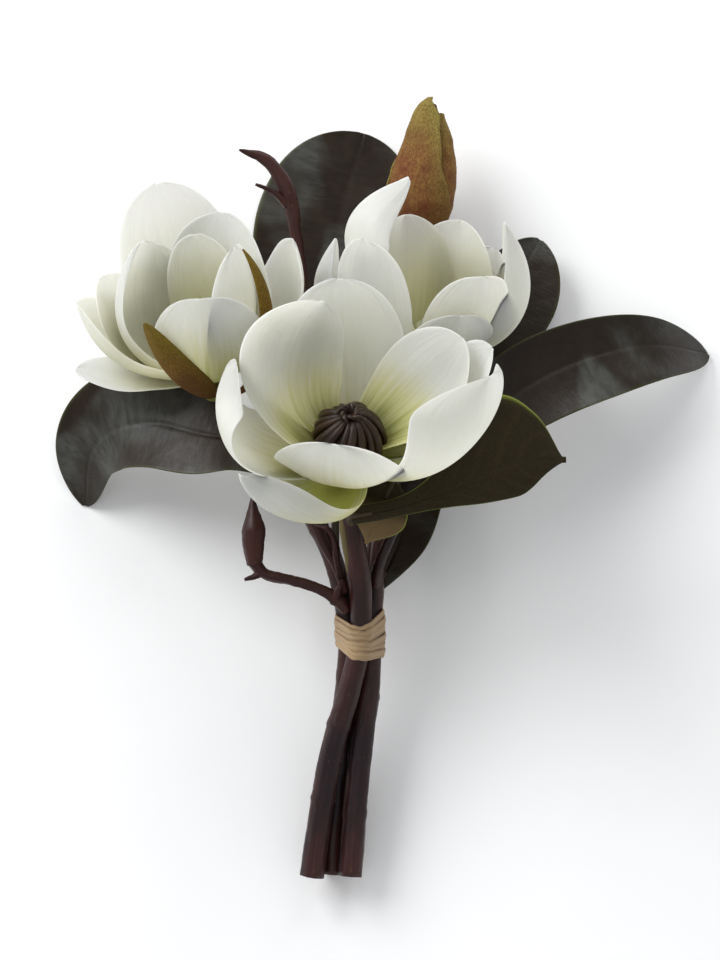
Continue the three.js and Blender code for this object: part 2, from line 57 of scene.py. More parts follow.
PER_METRE = 1000  # millimetres
LEAN = math.radians(11)  # how far the face of the bunch leans back from level
SHIFT = np.array([-14.05, -79.48, 34.715])  # brings the middle of the outline over the origin, on the table
CUT_END_Y = -113
HEEL_Z = -13.4  # the rim of the rear stem, which touches the table at its cut end
STEM_RADIUS = 5.2
GAP = 0.3
BUNDLE = (2 * STEM_RADIUS + GAP) / math.sqrt(3)  # from the bundle's middle to the middle of each stem
STEMS_IN_TIE = {
    "front": (0, 0, BUNDLE),
    "left": (-BUNDLE * math.sqrt(3) / 2, 0, -BUNDLE / 2),
    "right": (BUNDLE * math.sqrt(3) / 2, 0, -BUNDLE / 2),
}
NECK = 13  # from a bloom's heart down to the end of its stem
BASE_HEIGHTS, BASE_RADII = (-NECK, -7, -1, 4), (5, 6.5, 10, 7)


def spun(points, first, angle):
    """Points turned in the plane of two axes, the `first` one and the next."""
    p = np.array(points, float)
    a, b = p[:, first].copy(), p[:, first + 1].copy()
    p[:, first] = a * math.cos(angle) - b * math.sin(angle)
    p[:, first + 1] = a * math.sin(angle) + b * math.cos(angle)
    return p


def laid_down(points):
    """Bunch space in millimetres to the row frame in metres."""
    return (spun(points, 1, LEAN) + SHIFT) / PER_METRE


def on_table(x, y, lift=0.0):
    """A point that the table holds up, in bunch space."""
    return (x, y, HEEL_Z - math.tan(LEAN) * (y - CUT_END_Y) + lift)


# ---- small sums ----


def unit(a):
    a = np.asarray(a, float)
    return a / np.maximum(np.linalg.norm(a, axis=-1, keepdims=True), 1e-9)


def mix(a, b, t):
    return a + (b - a) * t


def smooth(low, high, x):
    t = np.clip((x - low) / (high - low), 0, 1)
    return t * t * (3 - 2 * t)


def turned(vectors, axis, angle):
    """Vectors turned about unit axes by angles, row by row."""
    c, s = np.cos(angle)[:, None], np.sin(angle)[:, None]
    return vectors * c + np.cross(axis, vectors) * s + axis * np.sum(axis * vectors, 1)[:, None] * (1 - c)


def lumps(points, scale, seed=0.0):
    """Smooth noise from -1 to 1 at each point, with lumps about 1 / scale apart."""
    return np.array([noise.noise(Vector(p) * scale + Vector((seed, seed * 0.7, -seed))) for p in points])


class Line:
    """A smooth line through points: even in its points, or centripetal for limbs."""

    def __init__(self, points, centripetal=False):
        p = np.asarray(points, float)
        self.points = np.vstack([2 * p[0] - p[1], p, 2 * p[-1] - p[-2]])
        self.centripetal = centripetal
        self.spans = len(p) - 1
        t = np.linspace(0, 1, 401)
        run = np.concatenate([[0], np.cumsum(np.linalg.norm(np.diff(self.at(t), axis=0), axis=1))])
        self.length = run[-1]
        self.table = (run / run[-1], t)

    def at(self, t):
        t = np.clip(np.asarray(t, float), 0, 1) * self.spans
        k = np.minimum(t.astype(int), self.spans - 1)
        w = (t - k)[:, None]
        p0, p1, p2, p3 = (self.points[k + i] for i in range(4))
        if self.centripetal:
            steps = ((p0, p1), (p1, p2), (p2, p3))
            d0, d1, d2 = (np.maximum(np.linalg.norm(b - a, axis=1) ** 0.5, 1e-4)[:, None] for a, b in steps)
            m1 = ((p1 - p0) / d0 - (p2 - p0) / (d0 + d1) + (p2 - p1) / d1) * d1
            m2 = ((p2 - p1) / d1 - (p3 - p1) / (d1 + d2) + (p3 - p2) / d2) * d1
        else:
            m1, m2 = (p2 - p0) / 2, (p3 - p1) / 2
        return p1 + m1 * w + (-3 * p1 + 3 * p2 - 2 * m1 - m2) * w**2 + (2 * p1 - 2 * p2 + m1 + m2) * w**3

    def tangent(self, t):
        return unit(self.at(np.minimum(1, t + 0.001)) - self.at(np.maximum(0, t - 0.001)))

    def even(self, share):
        """The parameter at an even share of the length."""
        return np.interp(share, *self.table)


# ---- modelling ----

TIP_ROWS = 1.5  # how much closer a blade's rows lie towards its tip
END_INSETS = (0.25, 0.45)  # the rings that a limb's ends are cut into, as shares of its radius


def active():
    return bpy.context.active_object


def only(*objects):
    """Selects these objects alone, the first one active."""
    bpy.ops.object.select_all(action="DESELECT")
    for o in objects:
        o.select_set(True)
    bpy.context.view_layer.objects.active = objects[0]


def held(collection, key, width=1, kind=float):
    """What the points, loops or triangles of a mesh hold, as an array."""
    values = np.empty(len(collection) * width, kind)
    collection.foreach_get(key, values)
    return values if width == 1 else values.reshape(-1, width)


def points_of(obj):
    return held(obj.data.vertices, "co", 3)


def set_points(obj, points):
    obj.data.vertices.foreach_set("co", np.asarray(points, float).ravel())
    obj.data.update()


def note(obj, name, values):
    """Writes a number or a vector for each point of a mesh, for its finish to read."""
    values = np.asarray(values, float)
    kind, key = ("FLOAT", "value") if values.ndim == 1 else ("FLOAT_VECTOR", "vector")
    attribute = obj.data.attributes.new(name, kind, "POINT")
    attribute.data.foreach_set(key, values.ravel())


def apply(obj, kind, **settings):
    only(obj)
    bpy.ops.object.modifier_add(type=kind)
    modifier = obj.modifiers[-1]
    for key, value in settings.items():
        setattr(modifier, key, value)
    bpy.ops.object.modifier_apply(modifier=modifier.name)


def grid(name, across, along):
    """A grid primitive to lay out as a blade, with u from -1 to 1 across it and v from 0 to 1 along it."""
    bpy.ops.object.select_all(action="DESELECT")
    bpy.ops.mesh.primitive_grid_add(x_subdivisions=across, y_subdivisions=along, size=2)
    obj = active()
    obj.name = obj.data.name = name
    flat = points_of(obj)
    u, v = -flat[:, 0], 1 - (0.5 - flat[:, 1] / 2) ** TIP_ROWS
    loops = held(obj.data.loops, "vertex_index", kind=int)
    uv = np.stack([0.5 + u[loops] / 2, v[loops]], axis=1)
    obj.data.uv_layers.active.data.foreach_set("uv", uv.ravel())
    return obj, u, v


def thicken(obj, thick, share, rim=2):
    """Gives a blade its thickness, `share` of it at each point, and rounds its margin."""
    group = obj.vertex_groups.new(name="thick")
    for i, w in enumerate(share):
        group.add([i], float(w), "REPLACE")
    offsets = {"offset": 0, "material_offset": 1, "material_offset_rim": rim}
    apply(obj, "SOLIDIFY", thickness=thick / PER_METRE, vertex_group="thick", **offsets)
    obj.vertex_groups.clear()
    apply(obj, "SUBSURF", levels=1, render_levels=1, boundary_smooth="PRESERVE_CORNERS")


def outline(v, neck, belly, point, waist=1.0):
    """Half width along a blade, as a share of its widest; a `waist` over 1 keeps the lower part slender."""
    low = neck + (1 - neck) * np.sin(np.pi / 2 * np.minimum(v / belly, 1)) ** waist
    high = np.maximum(0.05, np.maximum(0, 1 - np.clip((v - belly) / (1 - belly), 0, 1) ** 2) ** point)
    return np.where(v < belly, low, high)


def blade(u, v, centre, tangent, side, half, cup, lift):
    """Lays a grid round a midline: margins turned up by `cup` degrees at the root and at the tip."""
    up = np.cross(tangent, side)
    curl = np.radians(mix(cup[0], cup[1], v))
    curl = np.where(np.abs(curl) < 1e-3, 1e-3, curl)
    across = half * np.sin(curl * u) / curl
    rise = half * (1 - np.cos(curl * u)) / curl
    normal = up * np.cos(curl * u)[:, None] - side * np.sin(curl * u)[:, None]
    return centre + side * across[:, None] + up * rise[:, None] + normal * np.asarray(lift).reshape(-1, 1)


def tube(name, points, radii, around=20, along=80, relief=None, hollow_end=0.0):
    """A round limb along a line: a cylinder primitive cut into rings, with its ends inset, then bent."""
    bpy.ops.object.select_all(action="DESELECT")
    bpy.ops.mesh.primitive_cylinder_add(vertices=around, radius=1, depth=1)
    obj = active()
    obj.name = obj.data.name = name
    bpy.ops.object.mode_set(mode="EDIT")
    bpy.ops.mesh.select_mode(type="FACE")
    bpy.ops.mesh.select_all(action="DESELECT")
    mesh = bmesh.from_edit_mesh(obj.data)
    for face in mesh.faces:
        face.select_set(abs(face.normal.z) > 0.9)
    bmesh.update_edit_mesh(obj.data)
    for inset in END_INSETS:
        bpy.ops.mesh.inset(thickness=inset, use_individual=True)
    bpy.ops.mesh.select_mode(type="EDGE")
    bpy.ops.mesh.select_all(action="DESELECT")
    mesh = bmesh.from_edit_mesh(obj.data)
    for edge in mesh.edges:
        edge.select_set(abs(edge.verts[0].co.z - edge.verts[1].co.z) > 0.5)
    bmesh.update_edit_mesh(obj.data)
    bpy.ops.mesh.subdivide(number_cuts=along - 1)
    bpy.ops.object.mode_set(mode="OBJECT")
    flat = points_of(obj)
    line = Line(points, centripetal=True)
    share = np.clip(flat[:, 2] + 0.5, 0, 1)
    rows, row_of = np.unique(np.round(share, 6), return_inverse=True)
    t = line.even(rows)
    centre, tangent = line.at(t), line.tangent(t)
    normal = [unit(np.cross(tangent[0], (0.03, 0.02, 1) if abs(tangent[0][2]) < 0.9 else (1, 0, 0)))]
    for step in tangent[1:]:
        normal.append(unit(normal[-1] - step * np.dot(step, normal[-1])))
    normal = np.array(normal)
    binormal = np.cross(tangent, normal)
    radius = np.interp(t, np.linspace(0, 1, len(radii)), radii)
    run = rows[row_of] * line.length
    grain = np.stack([flat[:, 0] * radius[row_of], flat[:, 1] * radius[row_of], run], axis=1)
    ring = np.hypot(flat[:, 0], flat[:, 1])
    angle = np.arctan2(flat[:, 1], flat[:, 0])
    swell = radius[row_of] * ring
    if relief is not None:
        swell = swell + relief(angle, run, grain, centre[row_of]) * ring
    out = normal[row_of] * np.cos(angle)[:, None] + binormal[row_of] * np.sin(angle)[:, None]
    ends = np.where(share < 0.5, 1, -1) * (ring < 0.99) * (1 - ring) * hollow_end
    placed = centre[row_of] + out * swell[:, None] + tangent[row_of] * ends[:, None]
    set_points(obj, laid_down(placed))
    note(obj, "grain", grain / PER_METRE)
    note(obj, "share", share)
    note(obj, "ring", ring * (np.abs(share - 0.5) > 0.4999))
    return obj


def joined(name, objects):
    only(*objects)
    if len(objects) > 1:
        bpy.ops.object.join()
    obj = active()
    obj.name = obj.data.name = name
    return obj


def coat(obj, *materials):
    for material in materials:
        obj.data.materials.append(material)


def finish_piece(name, parts, node, slot, *materials):
    """Ends a piece: joins its parts, adds the finishes it is given, smooths its shading, hangs it on the root
    and hides the part it stands for.
    """
    obj = joined(name, parts)
    coat(obj, *materials)
    only(obj)
    bpy.ops.object.shade_smooth()
    if any(abs(x) > 1e-9 for x in obj.location):
        raise RuntimeError(f"{obj.name} is away from the origin")
    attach(obj, "root")
    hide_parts(node)


# ---- finishes ----


def paint(red, green, blue):
    """A screen colour, 0 to 255, as Blender's linear colour."""
    shares = [c / 255 for c in (red, green, blue)]
    return tuple(((c + 0.055) / 1.055) ** 2.4 if c > 0.04045 else c / 12.92 for c in shares)


def shade(colour, by):
    return tuple(c * by for c in colour)


class Finish:
    """A material, and short names for the nodes that its patterns are made of."""

    def __init__(self, name, **shader):
        self.material = bpy.data.materials.new(name)
        self.material.use_nodes = True
        self.tree = self.material.node_tree
        self.shader = self.tree.nodes["Principled BSDF"]
        self.wear(**shader)

    def set(self, node, socket, value):
        target = node.inputs[socket]
        if isinstance(value, bpy.types.NodeSocket):
            self.tree.links.new(value, target)
        elif target.type == "RGBA" and len(value) == 3:
            target.default_value = (*value, 1)
        else:
            target.default_value = value

    def add(self, kind, inputs=None, **settings):
        node = self.tree.nodes.new(kind)
        for key, value in settings.items():
            setattr(node, key, value)
        for key, value in (inputs or {}).items():
            self.set(node, key, value)
        return node

    def noted(self, name, part="Fac"):
        return self.add("ShaderNodeAttribute", attribute_name=name).outputs[part]

    def own(self, kind="Object"):
        return self.add("ShaderNodeTexCoord").outputs[kind]

    def stretched(self, vector, scale):
        return self.add("ShaderNodeMapping", {"Vector": vector, "Scale": scale}).outputs[0]

    def clouds(self, vector, scale, detail=3.0, roughness=0.5, distortion=0.0):
        inputs = {"Vector": vector, "Scale": scale, "Detail": detail, "Roughness": roughness}
        return self.add("ShaderNodeTexNoise", {**inputs, "Distortion": distortion}).outputs[0]

    def fibres(self, vector, scale, *more):
        return self.clouds(self.stretched(vector, scale), 1.0, *more)

    def spots(self, vector):
        return self.add("ShaderNodeTexVoronoi", {"Vector": vector, "Scale": 1.0}).outputs["Distance"]

    def ranged(self, value, low, high, out_low=0.0, out_high=1.0):
        inputs = {"Value": value, "From Min": low, "From Max": high, "To Min": out_low, "To Max": out_high}
        return self.add("ShaderNodeMapRange", inputs, interpolation_type="SMOOTHSTEP").outputs[0]

    def sum(self, operation, a, b=0.0):
        return self.add("ShaderNodeMath", {0: a, 1: b}, operation=operation).outputs[0]

    def times(self, a, b):
        return self.sum("MULTIPLY", a, b)

    def blend(self, share, a, b):
        return self.add("ShaderNodeMix", {0: share, 6: a, 7: b}, data_type="RGBA").outputs[2]

    def over(self, colour, other, pattern, low, high, most=1.0):
        """Lays another colour over one where a pattern is high."""
        return self.blend(self.ranged(pattern, low, high, 0.0, most), colour, other)

    def bump(self, height, depth, strength, after):
        inputs = {"Height": height, "Distance": depth, "Strength": strength}
        if after is not None:
            inputs["Normal"] = after
        return self.add("ShaderNodeBump", inputs).outputs[0]

    def worn(self, colour, rough, *bumps):
        """The finished material, with its bumps one over the other."""
        relief = None
        for bump in bumps:
            relief = self.bump(*bump, relief)
        return self.wear(base_color=colour, roughness=rough, normal=relief)

    def wear(self, **sockets):
        for key, value in sockets.items():
            self.set(self.shader, key.replace("_", " ").title().replace("Ior", "IOR"), value)
        return self.material


def petal_finish(name, white, glow, cream, lime, stain_and_shade, tint):
    """White towards the tip, then cream, lime and a dark olive staining mixed with painted shade towards the
    heart, as strong as `tint`.
    """
    through = {"subsurface_weight": 0.9, "subsurface_radius": (1.0, 0.97, 0.85), "subsurface_scale": 0.01}
    f = Finish(name, specular_ior_level=0.35, **through)
    tone = f.add("ShaderNodeSeparateXYZ", {0: f.noted("tone", "Vector")})
    uv = f.own("UV")
    streaks = f.fibres(uv, (26, 1.6, 1), 3, 0.55)
    fine = f.fibres(uv, (90, 5, 1), 2, 0.5)
    mottle = f.clouds(f.own(), 60, 3)
    colour = f.over(white, shade(white, 0.965), mottle, 0.3, 0.7)
    colour = f.over(colour, shade(white, 0.86), streaks, 0.5, 0.8, 0.35)
    colour = f.blend(tone.outputs[1], colour, glow)
    depth = f.times(tone.outputs[0], f.ranged(streaks, 0.25, 0.75, 0.75 * tint, 1.2 * tint))
    colour = f.over(colour, cream, depth, 0.0, 0.55)
    colour = f.over(colour, lime, depth, 0.4, 1.0)
    # round the seed cone: real dark staining and painted shade of the cup's hollow, laid in one colour
    colour = f.blend(f.times(tone.outputs[2], f.ranged(streaks, 0.3, 0.7, 0.75, 1.1)), colour, stain_and_shade)
    pores = f.clouds(f.own(), 1400, 2)
    bumps = [(streaks, 0.0007, 0.5), (fine, 0.00015, 0.4), (pores, 0.00005, 0.4)]
    return f.worn(colour, f.ranged(mottle, 0.3, 0.7, 0.46, 0.6), *bumps)


def edge_finish(name, colour, roughness, subsurface=0.0):
    f = Finish(name, subsurface_weight=subsurface, subsurface_scale=0.003)
    mottle = f.clouds(f.own(), 220, 2)
    rough = f.ranged(mottle, 0.3, 0.7, roughness - 0.05, roughness + 0.08)
    return f.worn(f.over(colour, shade(colour, 0.88), mottle, 0.3, 0.7), rough, (mottle, 0.0001, 0.3))


RIM_LIME = paint(132, 144, 58)


def leaf_top_finish(dark, sheen, bloom):
    """A dark glossy face with painted sheen: lighter mottles, and a blue-gray painted highlight that lies on
    it in soft patches.
    """
    f = Finish("leaf_upper", specular_ior_level=0.24)
    uv, place = f.own("UV"), f.own()
    vein = f.noted("vein")
    mottle = f.clouds(place, 45, 4, 0.55)
    brushed = f.fibres(uv, (5, 42, 1), 3, 0.6, 0.4)
    # lighter mottles in the sheen colour: painted sheen
    colour = f.over(dark, sheen, mottle, 0.3, 0.75)
    colour = f.over(colour, shade(sheen, 1.6), vein, 0.0, 1.0, 0.5)
    colour = f.over(colour, shade(sheen, 1.35), brushed, 0.45, 0.8, 0.3)
    # `bloom` is the colour of a painted highlight, laid in soft patches where the key light's sheen would fall
    patch = f.clouds(place, 17, 2, 0.5, 0.8)
    sheen_patches = f.times(f.ranged(patch, 0.46, 0.68), f.ranged(brushed, 0.25, 0.7, 0.35, 0.8))
    colour = f.blend(sheen_patches, colour, bloom)
    colour = f.blend(f.noted("rim"), colour, RIM_LIME)
    pores = f.clouds(place, 420, 3)
    rough = f.ranged(f.sum("ADD", mottle, f.times(brushed, 0.6)), 0.5, 1.1, 0.26, 0.48)
    return f.worn(colour, rough, (brushed, 0.0006, 0.35), (pores, 0.00012, 0.45))


def leaf_under_finish(name, felt, worn, young):
    f = Finish(name, specular_ior_level=0.2, sheen_weight=0.06, sheen_roughness=0.5)
    uv, place = f.own("UV"), f.own()
    vein = f.noted("vein")
    mottle = f.clouds(place, 38, 4, 0.6)
    nap = f.clouds(place, 900, 3, 0.7)
    colour = f.over(felt, worn, mottle, 0.3, 0.7)
    colour = f.over(colour, shade(felt, 1.7), vein, 0.0, 1.0, 0.45)
    colour = f.over(colour, shade(felt, 0.6), nap, 0.35, 0.7, 0.25)
    colour = f.blend(f.times(f.noted("young"), f.ranged(mottle, 0.3, 0.7, 0.75, 1.0)), colour, young)
    colour = f.blend(f.noted("rim"), colour, RIM_LIME)
    creases = f.fibres(uv, (6, 40, 1), 3, 0.6, 0.5)
    return f.worn(colour, f.ranged(nap, 0.3, 0.7, 0.7, 0.9), (creases, 0.0005, 0.3), (nap, 0.0002, 0.7))


def bark_finish(name, dark, warm, pale, gloss, flecked=0.8):
    f = Finish(name, specular_ior_level=0.3)
    grain = f.noted("grain", "Vector")
    long = f.fibres(grain, (330, 330, 9), 5, 0.6)
    broad = f.fibres(grain, (80, 80, 22), 3, 0.55)
    flecks = f.ranged(f.spots(f.stretched(grain, (420, 420, 260))), 0.1, 0.24, 1.0, 0.0)
    chance = f.ranged(f.fibres(grain, (90, 90, 60), 2), 0.48, 0.62)
    colour = f.over(dark, warm, broad, 0.3, 0.72)
    colour = f.over(colour, shade(dark, 0.55), long, 0.5, 0.8, 0.75)
    colour = f.blend(f.times(flecks, f.times(chance, flecked)), colour, pale)
    rough = f.ranged(long, 0.3, 0.75, gloss, gloss + 0.25)
    return f.worn(colour, rough, (long, 0.0006, 0.55), (broad, 0.0012, 0.3))


def cut_finish(bark, wood):
    """The cut ends of the stems: a pale heart, growth rings and the bark round them."""
    f = Finish("cut_wood", specular_ior_level=0.3)
    ring = f.noted("ring")
    rings = f.sum("SINE", f.times(ring, 60.0))
    saw = f.fibres(f.own(), (300, 40, 300), 3)
    colour = f.over(wood, shade(wood, 0.55), rings, -0.4, 1.0, 0.6)
    colour = f.over(colour, shade(wood, 0.6), saw, 0.4, 0.75, 0.5)
    colour = f.over(colour, bark, ring, 0.78, 0.95)
    return f.worn(colour, f.ranged(saw, 0.3, 0.7, 0.6, 0.85), (saw, 0.0004, 0.5))


def fur_finish(name, rust, gold, olive, dark):
    f = Finish(name, specular_ior_level=0.2, sheen_weight=0.4, sheen_roughness=0.45, sheen_tint=(*gold, 1))
    place, tone = f.own(), f.add("ShaderNodeSeparateXYZ", {0: f.noted("tone", "Vector")})
    patch = f.clouds(place, 95, 4, 0.6)
    nap = f.fibres(place, (1500, 700, 1500), 3, 0.6)
    colour = f.over(rust, gold, patch, 0.34, 0.66)
    colour = f.blend(tone.outputs[0], colour, olive)
    # tone's second share: darker towards the base, and painted shadow in the bud's seams
    colour = f.blend(tone.outputs[1], colour, dark)
    colour = f.over(colour, shade(rust, 0.5), nap, 0.35, 0.65, 0.55)
    return f.worn(colour, f.ranged(nap, 0.3, 0.7, 0.75, 0.95), (patch, 0.0008, 0.3), (nap, 0.0003, 0.8))


def carpel_finish(dark, brown):
    f = Finish("seed_cone", specular_ior_level=0.32)
    grain = f.noted("grain", "Vector")
    long = f.fibres(grain, (500, 500, 60), 4, 0.6)
    broad = f.clouds(f.own(), 160, 3)
    colour = f.over(dark, brown, broad, 0.35, 0.65)
    colour = f.over(colour, shade(dark, 0.4), long, 0.45, 0.8, 0.7)
    return f.worn(colour, f.ranged(long, 0.3, 0.7, 0.3, 0.5), (long, 0.0005, 0.6))


def young_cone_finish(pale, tip):
    f = Finish("young_cone", subsurface_weight=0.3, subsurface_scale=0.003, specular_ior_level=0.4)
    share = f.noted("share")
    mottle = f.clouds(f.own(), 260, 3)
    colour = f.over(pale, tip, share, 0.35, 1.0)
    colour = f.over(colour, shade(pale, 0.8), mottle, 0.4, 0.7, 0.35)
    return f.worn(colour, f.ranged(mottle, 0.3, 0.7, 0.45, 0.65), (mottle, 0.0003, 0.4))


def raffia_finish(tan, dark):
    f = Finish("raffia", specular_ior_level=0.35, sheen_weight=0.2, sheen_roughness=0.5)
    grain = f.noted("grain", "Vector")
    fibres = f.fibres(grain, (900, 900, 26), 4, 0.65)
    broad = f.fibres(grain, (160, 160, 18), 3)
    colour = f.over(tan, shade(tan, 0.82), broad, 0.35, 0.7)
    colour = f.over(colour, dark, fibres, 0.42, 0.7, 0.65)
    rough = f.ranged(fibres, 0.3, 0.7, 0.55, 0.8)
    return f.worn(colour, rough, (fibres, 0.0005, 0.7), (broad, 0.0008, 0.4))


def floor_finish(colour):
    f = Finish("pale_floor", specular_ior_level=0.2)
    mottle = f.clouds(f.own(), 12, 4)
    return f.wear(
        base_color=f.over(colour, shade(colour, 0.985), mottle, 0.3, 0.7),
        roughness=f.ranged(mottle, 0.3, 0.7, 0.75, 0.85),
    )


# ---- blooms ----


class Bloom:
    """A bloom's own frame. Round its axis, 0 degrees is to the right, 90 to the top, 270 towards the face."""

    def __init__(self, heart, axis):
        self.heart = np.array(heart, float)
        self.axis = unit(axis)
        self.top = unit(np.array([0, 1, 0]) - self.axis * self.axis[1])
        self.right = np.cross(self.top, self.axis)

    def outward(self, degrees):
        a = np.radians(degrees)
        return self.right * np.cos(a)[..., None] + self.top * np.sin(a)[..., None]

    def along(self, distance):
        return self.heart + self.axis * distance


FRONT_BLOOM = Bloom((-5.6, 88, 38), (0.03, 0.66, 0.75))
LEFT_BLOOM = Bloom((-71, 126, -2), (-0.16, 0.85, 0.5))
RIGHT_BLOOM = Bloom((30, 134, -22), (0.06, 0.93, 0.36))

PETAL = dict(
    swing=0, to=16, cup=(50, 35), twist=0, point=0.45, root=2, rise=0, bow=0.42, neck=0.3, belly=0.6,
    leave=82, lime=0.5, glow=0.15, stain_and_shade=0.0, skew=0.0, ripple=0.8,
)

# how deep a petal's folds are
FLUTE = 0.36  # down its middle
ROLLED = 1.6  # rolled back at its margin
WAVE = 0.8  # along its margin

FRONT_PETALS = [
    dict(turn=176, swing=-70, reach=46, high=58, to=-15, wide=61, cup=(55, 40), twist=-15, rise=2, neck=0.44,
         belly=0.62, point=0.4, skew=0.1, lime=0.9, stain_and_shade=0.9, leave=72),
    dict(turn=92, swing=2, reach=57, high=60, wide=60, cup=(35, 15), glow=0.3, stain_and_shade=0.9, leave=88),
    dict(turn=28, swing=-3, reach=58, high=53, wide=58, rise=3, lime=1.0, stain_and_shade=0.9, leave=70),
    dict(turn=14, swing=2, reach=68, high=53, to=24, wide=44, glow=0.35, leave=98),
    dict(turn=322, swing=24, reach=64, high=72, to=-15, wide=68, cup=(65, 70), twist=-27, rise=1, belly=0.78,
         point=0.36, skew=-0.24, lime=1.0, leave=95),
    dict(turn=265, swing=-8, reach=35, high=46, to=-18, wide=64, cup=(55, 20), rise=1, point=0.4, leave=115),
    dict(turn=210, swing=-42, reach=53, high=51, to=-45, bow=0.5, wide=62, cup=(60, 30), rise=1, skew=0.4,
         lime=0.8, glow=0.3, leave=90),
    dict(turn=270, swing=-56, reach=60, high=24, to=10, bow=0.5, wide=56, cup=(75, 60), twist=16, lime=1.4,
         leave=116),
]

LEFT_PETALS = [
    dict(turn=290, swing=8, reach=30, high=57, to=-6, wide=58, twist=-18, rise=2, point=0.38, lime=0.8,
         leave=90),
    dict(turn=186, swing=-38, reach=34, high=65, to=-28, bow=0.5, wide=72, cup=(80, 68), rise=2, belly=0.66,
         point=0.38, skew=0.15, leave=95),
    dict(turn=338, swing=20, reach=25, high=70, to=-8, wide=52, rise=2, leave=66),
    dict(turn=92, swing=4, reach=20, high=67, to=-6, wide=40, rise=2, glow=0.6, leave=66),
    dict(turn=69, swing=4, reach=34, high=72, wide=68),
    dict(turn=114, swing=6, reach=49, high=84, to=5, bow=0.6, wide=58, cup=(40, 25), twist=-10, neck=0.2,
         belly=0.76, glow=0.3, leave=100),
    dict(turn=174, swing=-6, reach=52, high=50, wide=52, glow=0.6, leave=95),
    dict(turn=194, swing=-12, reach=60, high=44, to=10, wide=58, cup=(70, 60), twist=10, glow=0.6),
    dict(turn=200, swing=-7, reach=64, high=14, to=72, wide=27, cup=(35, 30), twist=-12, leave=92),
    dict(turn=37, reach=53, high=56, to=-5, wide=54, glow=0.2),
]

RIGHT_PETALS = [
    dict(turn=188, swing=-12, reach=12, high=92, to=-65, bow=0.6, wide=58, cup=(70, 55), twist=10, point=0.6,
         rise=1, leave=40),
    dict(turn=208, swing=6, reach=43, high=69, to=0, wide=44, cup=(35, 30), twist=16, rise=1, belly=0.66,
         skew=0.12, leave=108),
    dict(turn=108, swing=-2, reach=28, high=67, wide=50, point=0.5, rise=2, glow=0.7),
    dict(turn=52, reach=32, high=65, to=6, wide=54, point=0.5, rise=2, glow=0.6),
    dict(turn=344, swing=9, reach=35, high=73, to=-42, bow=0.56, wide=58, cup=(75, 65), point=0.7, rise=1,
         leave=84),
    dict(turn=35, swing=0, reach=45, high=51, wide=50, rise=1, glow=0.5),
    dict(turn=302, swing=-8, reach=45, high=57, wide=48, cup=(50, 45), twist=-16, rise=2, glow=0.3),
    dict(turn=286, swing=-4, reach=43, high=38, wide=46, twist=-6),
    dict(turn=170, swing=-8, reach=46, high=58, to=-35, bow=0.56, wide=54, cup=(75, 60), point=0.65),
]


def petal_midline(bloom, row, v):
    """A petal's midline, which leaves the heart `leave` degrees off the axis and ends `to` degrees off it."""
    pull = row["bow"] * math.hypot(row["reach"] - row["root"], row["high"] - row["rise"])
    leave, end = math.radians(row["leave"]), math.radians(row["to"])
    root, tip = np.array([row["root"], row["rise"]]), np.array([row["reach"], row["high"]])
    after = root + pull * np.array([math.sin(leave), math.cos(leave)])
    before = tip - pull * np.array([math.sin(end), math.cos(end)])
    w = v[:, None]
    bend = root * (1 - w) ** 3 + 3 * after * w * (1 - w) ** 2 + 3 * before * w**2 * (1 - w) + tip * w**3
    out = bloom.outward(row["turn"] + row["swing"] * v)
    return bloom.heart + out * bend[:, :1] + bloom.axis * bend[:, 1:]


def petal(name, bloom, row, thick, seed, across=16, along=24, tone=None):
    row = {**PETAL, **row}
    obj, u, v = grid(name, across, along)
    centre = petal_midline(bloom, row, v)
    ahead = petal_midline(bloom, row, np.minimum(1, v + 0.01))
    tangent = unit(ahead - petal_midline(bloom, row, np.maximum(0, v - 0.01)))
    out = bloom.outward(row["turn"] + row["swing"] * v)
    side = np.cross(bloom.axis, out)
    side = unit(side - tangent * np.sum(side * tangent, axis=1)[:, None])
    side = turned(side, tangent, np.radians(row["twist"]) * v)
    half = row["wide"] / 2 * outline(v, row["neck"], row["belly"], row["point"])
    half = half * (1 + row["skew"] * u * smooth(0.2, 0.7, v))
    folds = row["ripple"] * smooth(0.15, 0.5, v)
    margin = smooth(0.72, 1.0, np.abs(u)) * smooth(0.3, 0.9, v) * (0.7 + 0.3 * np.sin(3 * seed))
    lift = folds * FLUTE * np.cos(7.5 * u + seed) * (1 - u * u)
    lift = lift - folds * ROLLED * margin + folds * WAVE * np.sin(9 * v + seed * 2 + 2 * np.sign(u)) * u * u
    points = blade(u, v, centre, tangent, side, half, row["cup"], lift)
    set_points(obj, laid_down(points))
    if tone is None:
        reach = np.linalg.norm(points - bloom.heart, axis=1)
        lime = row["lime"] * (1 - smooth(14, 66, reach)) * (1 - 0.3 * np.abs(u))
        # darkest within 16 to 36 mm of the heart: real staining mixed with painted shade of the cup round the
        # cone
        stain_and_shade = row["stain_and_shade"] * (1 - smooth(16, 36, reach))
        tone = np.stack([lime, row["glow"] * (1 - 0.6 * smooth(0.5, 1, v)), stain_and_shade], axis=1)
    else:
        tone = tone(u, v)
    note(obj, "tone", tone)
    edge = smooth(0.55, 1.0, np.maximum(np.abs(u), smooth(0.6, 1, v)))
    thicken(obj, thick, np.clip(1.15 - 0.35 * edge - 0.15 * v, 0.5, 1.2) / 1.2)
    return obj


BLOOMS = {
    "front": (FRONT_BLOOM, FRONT_PETALS),
    "left": (LEFT_BLOOM, LEFT_PETALS),
    "right": (RIGHT_BLOOM, RIGHT_PETALS),
}


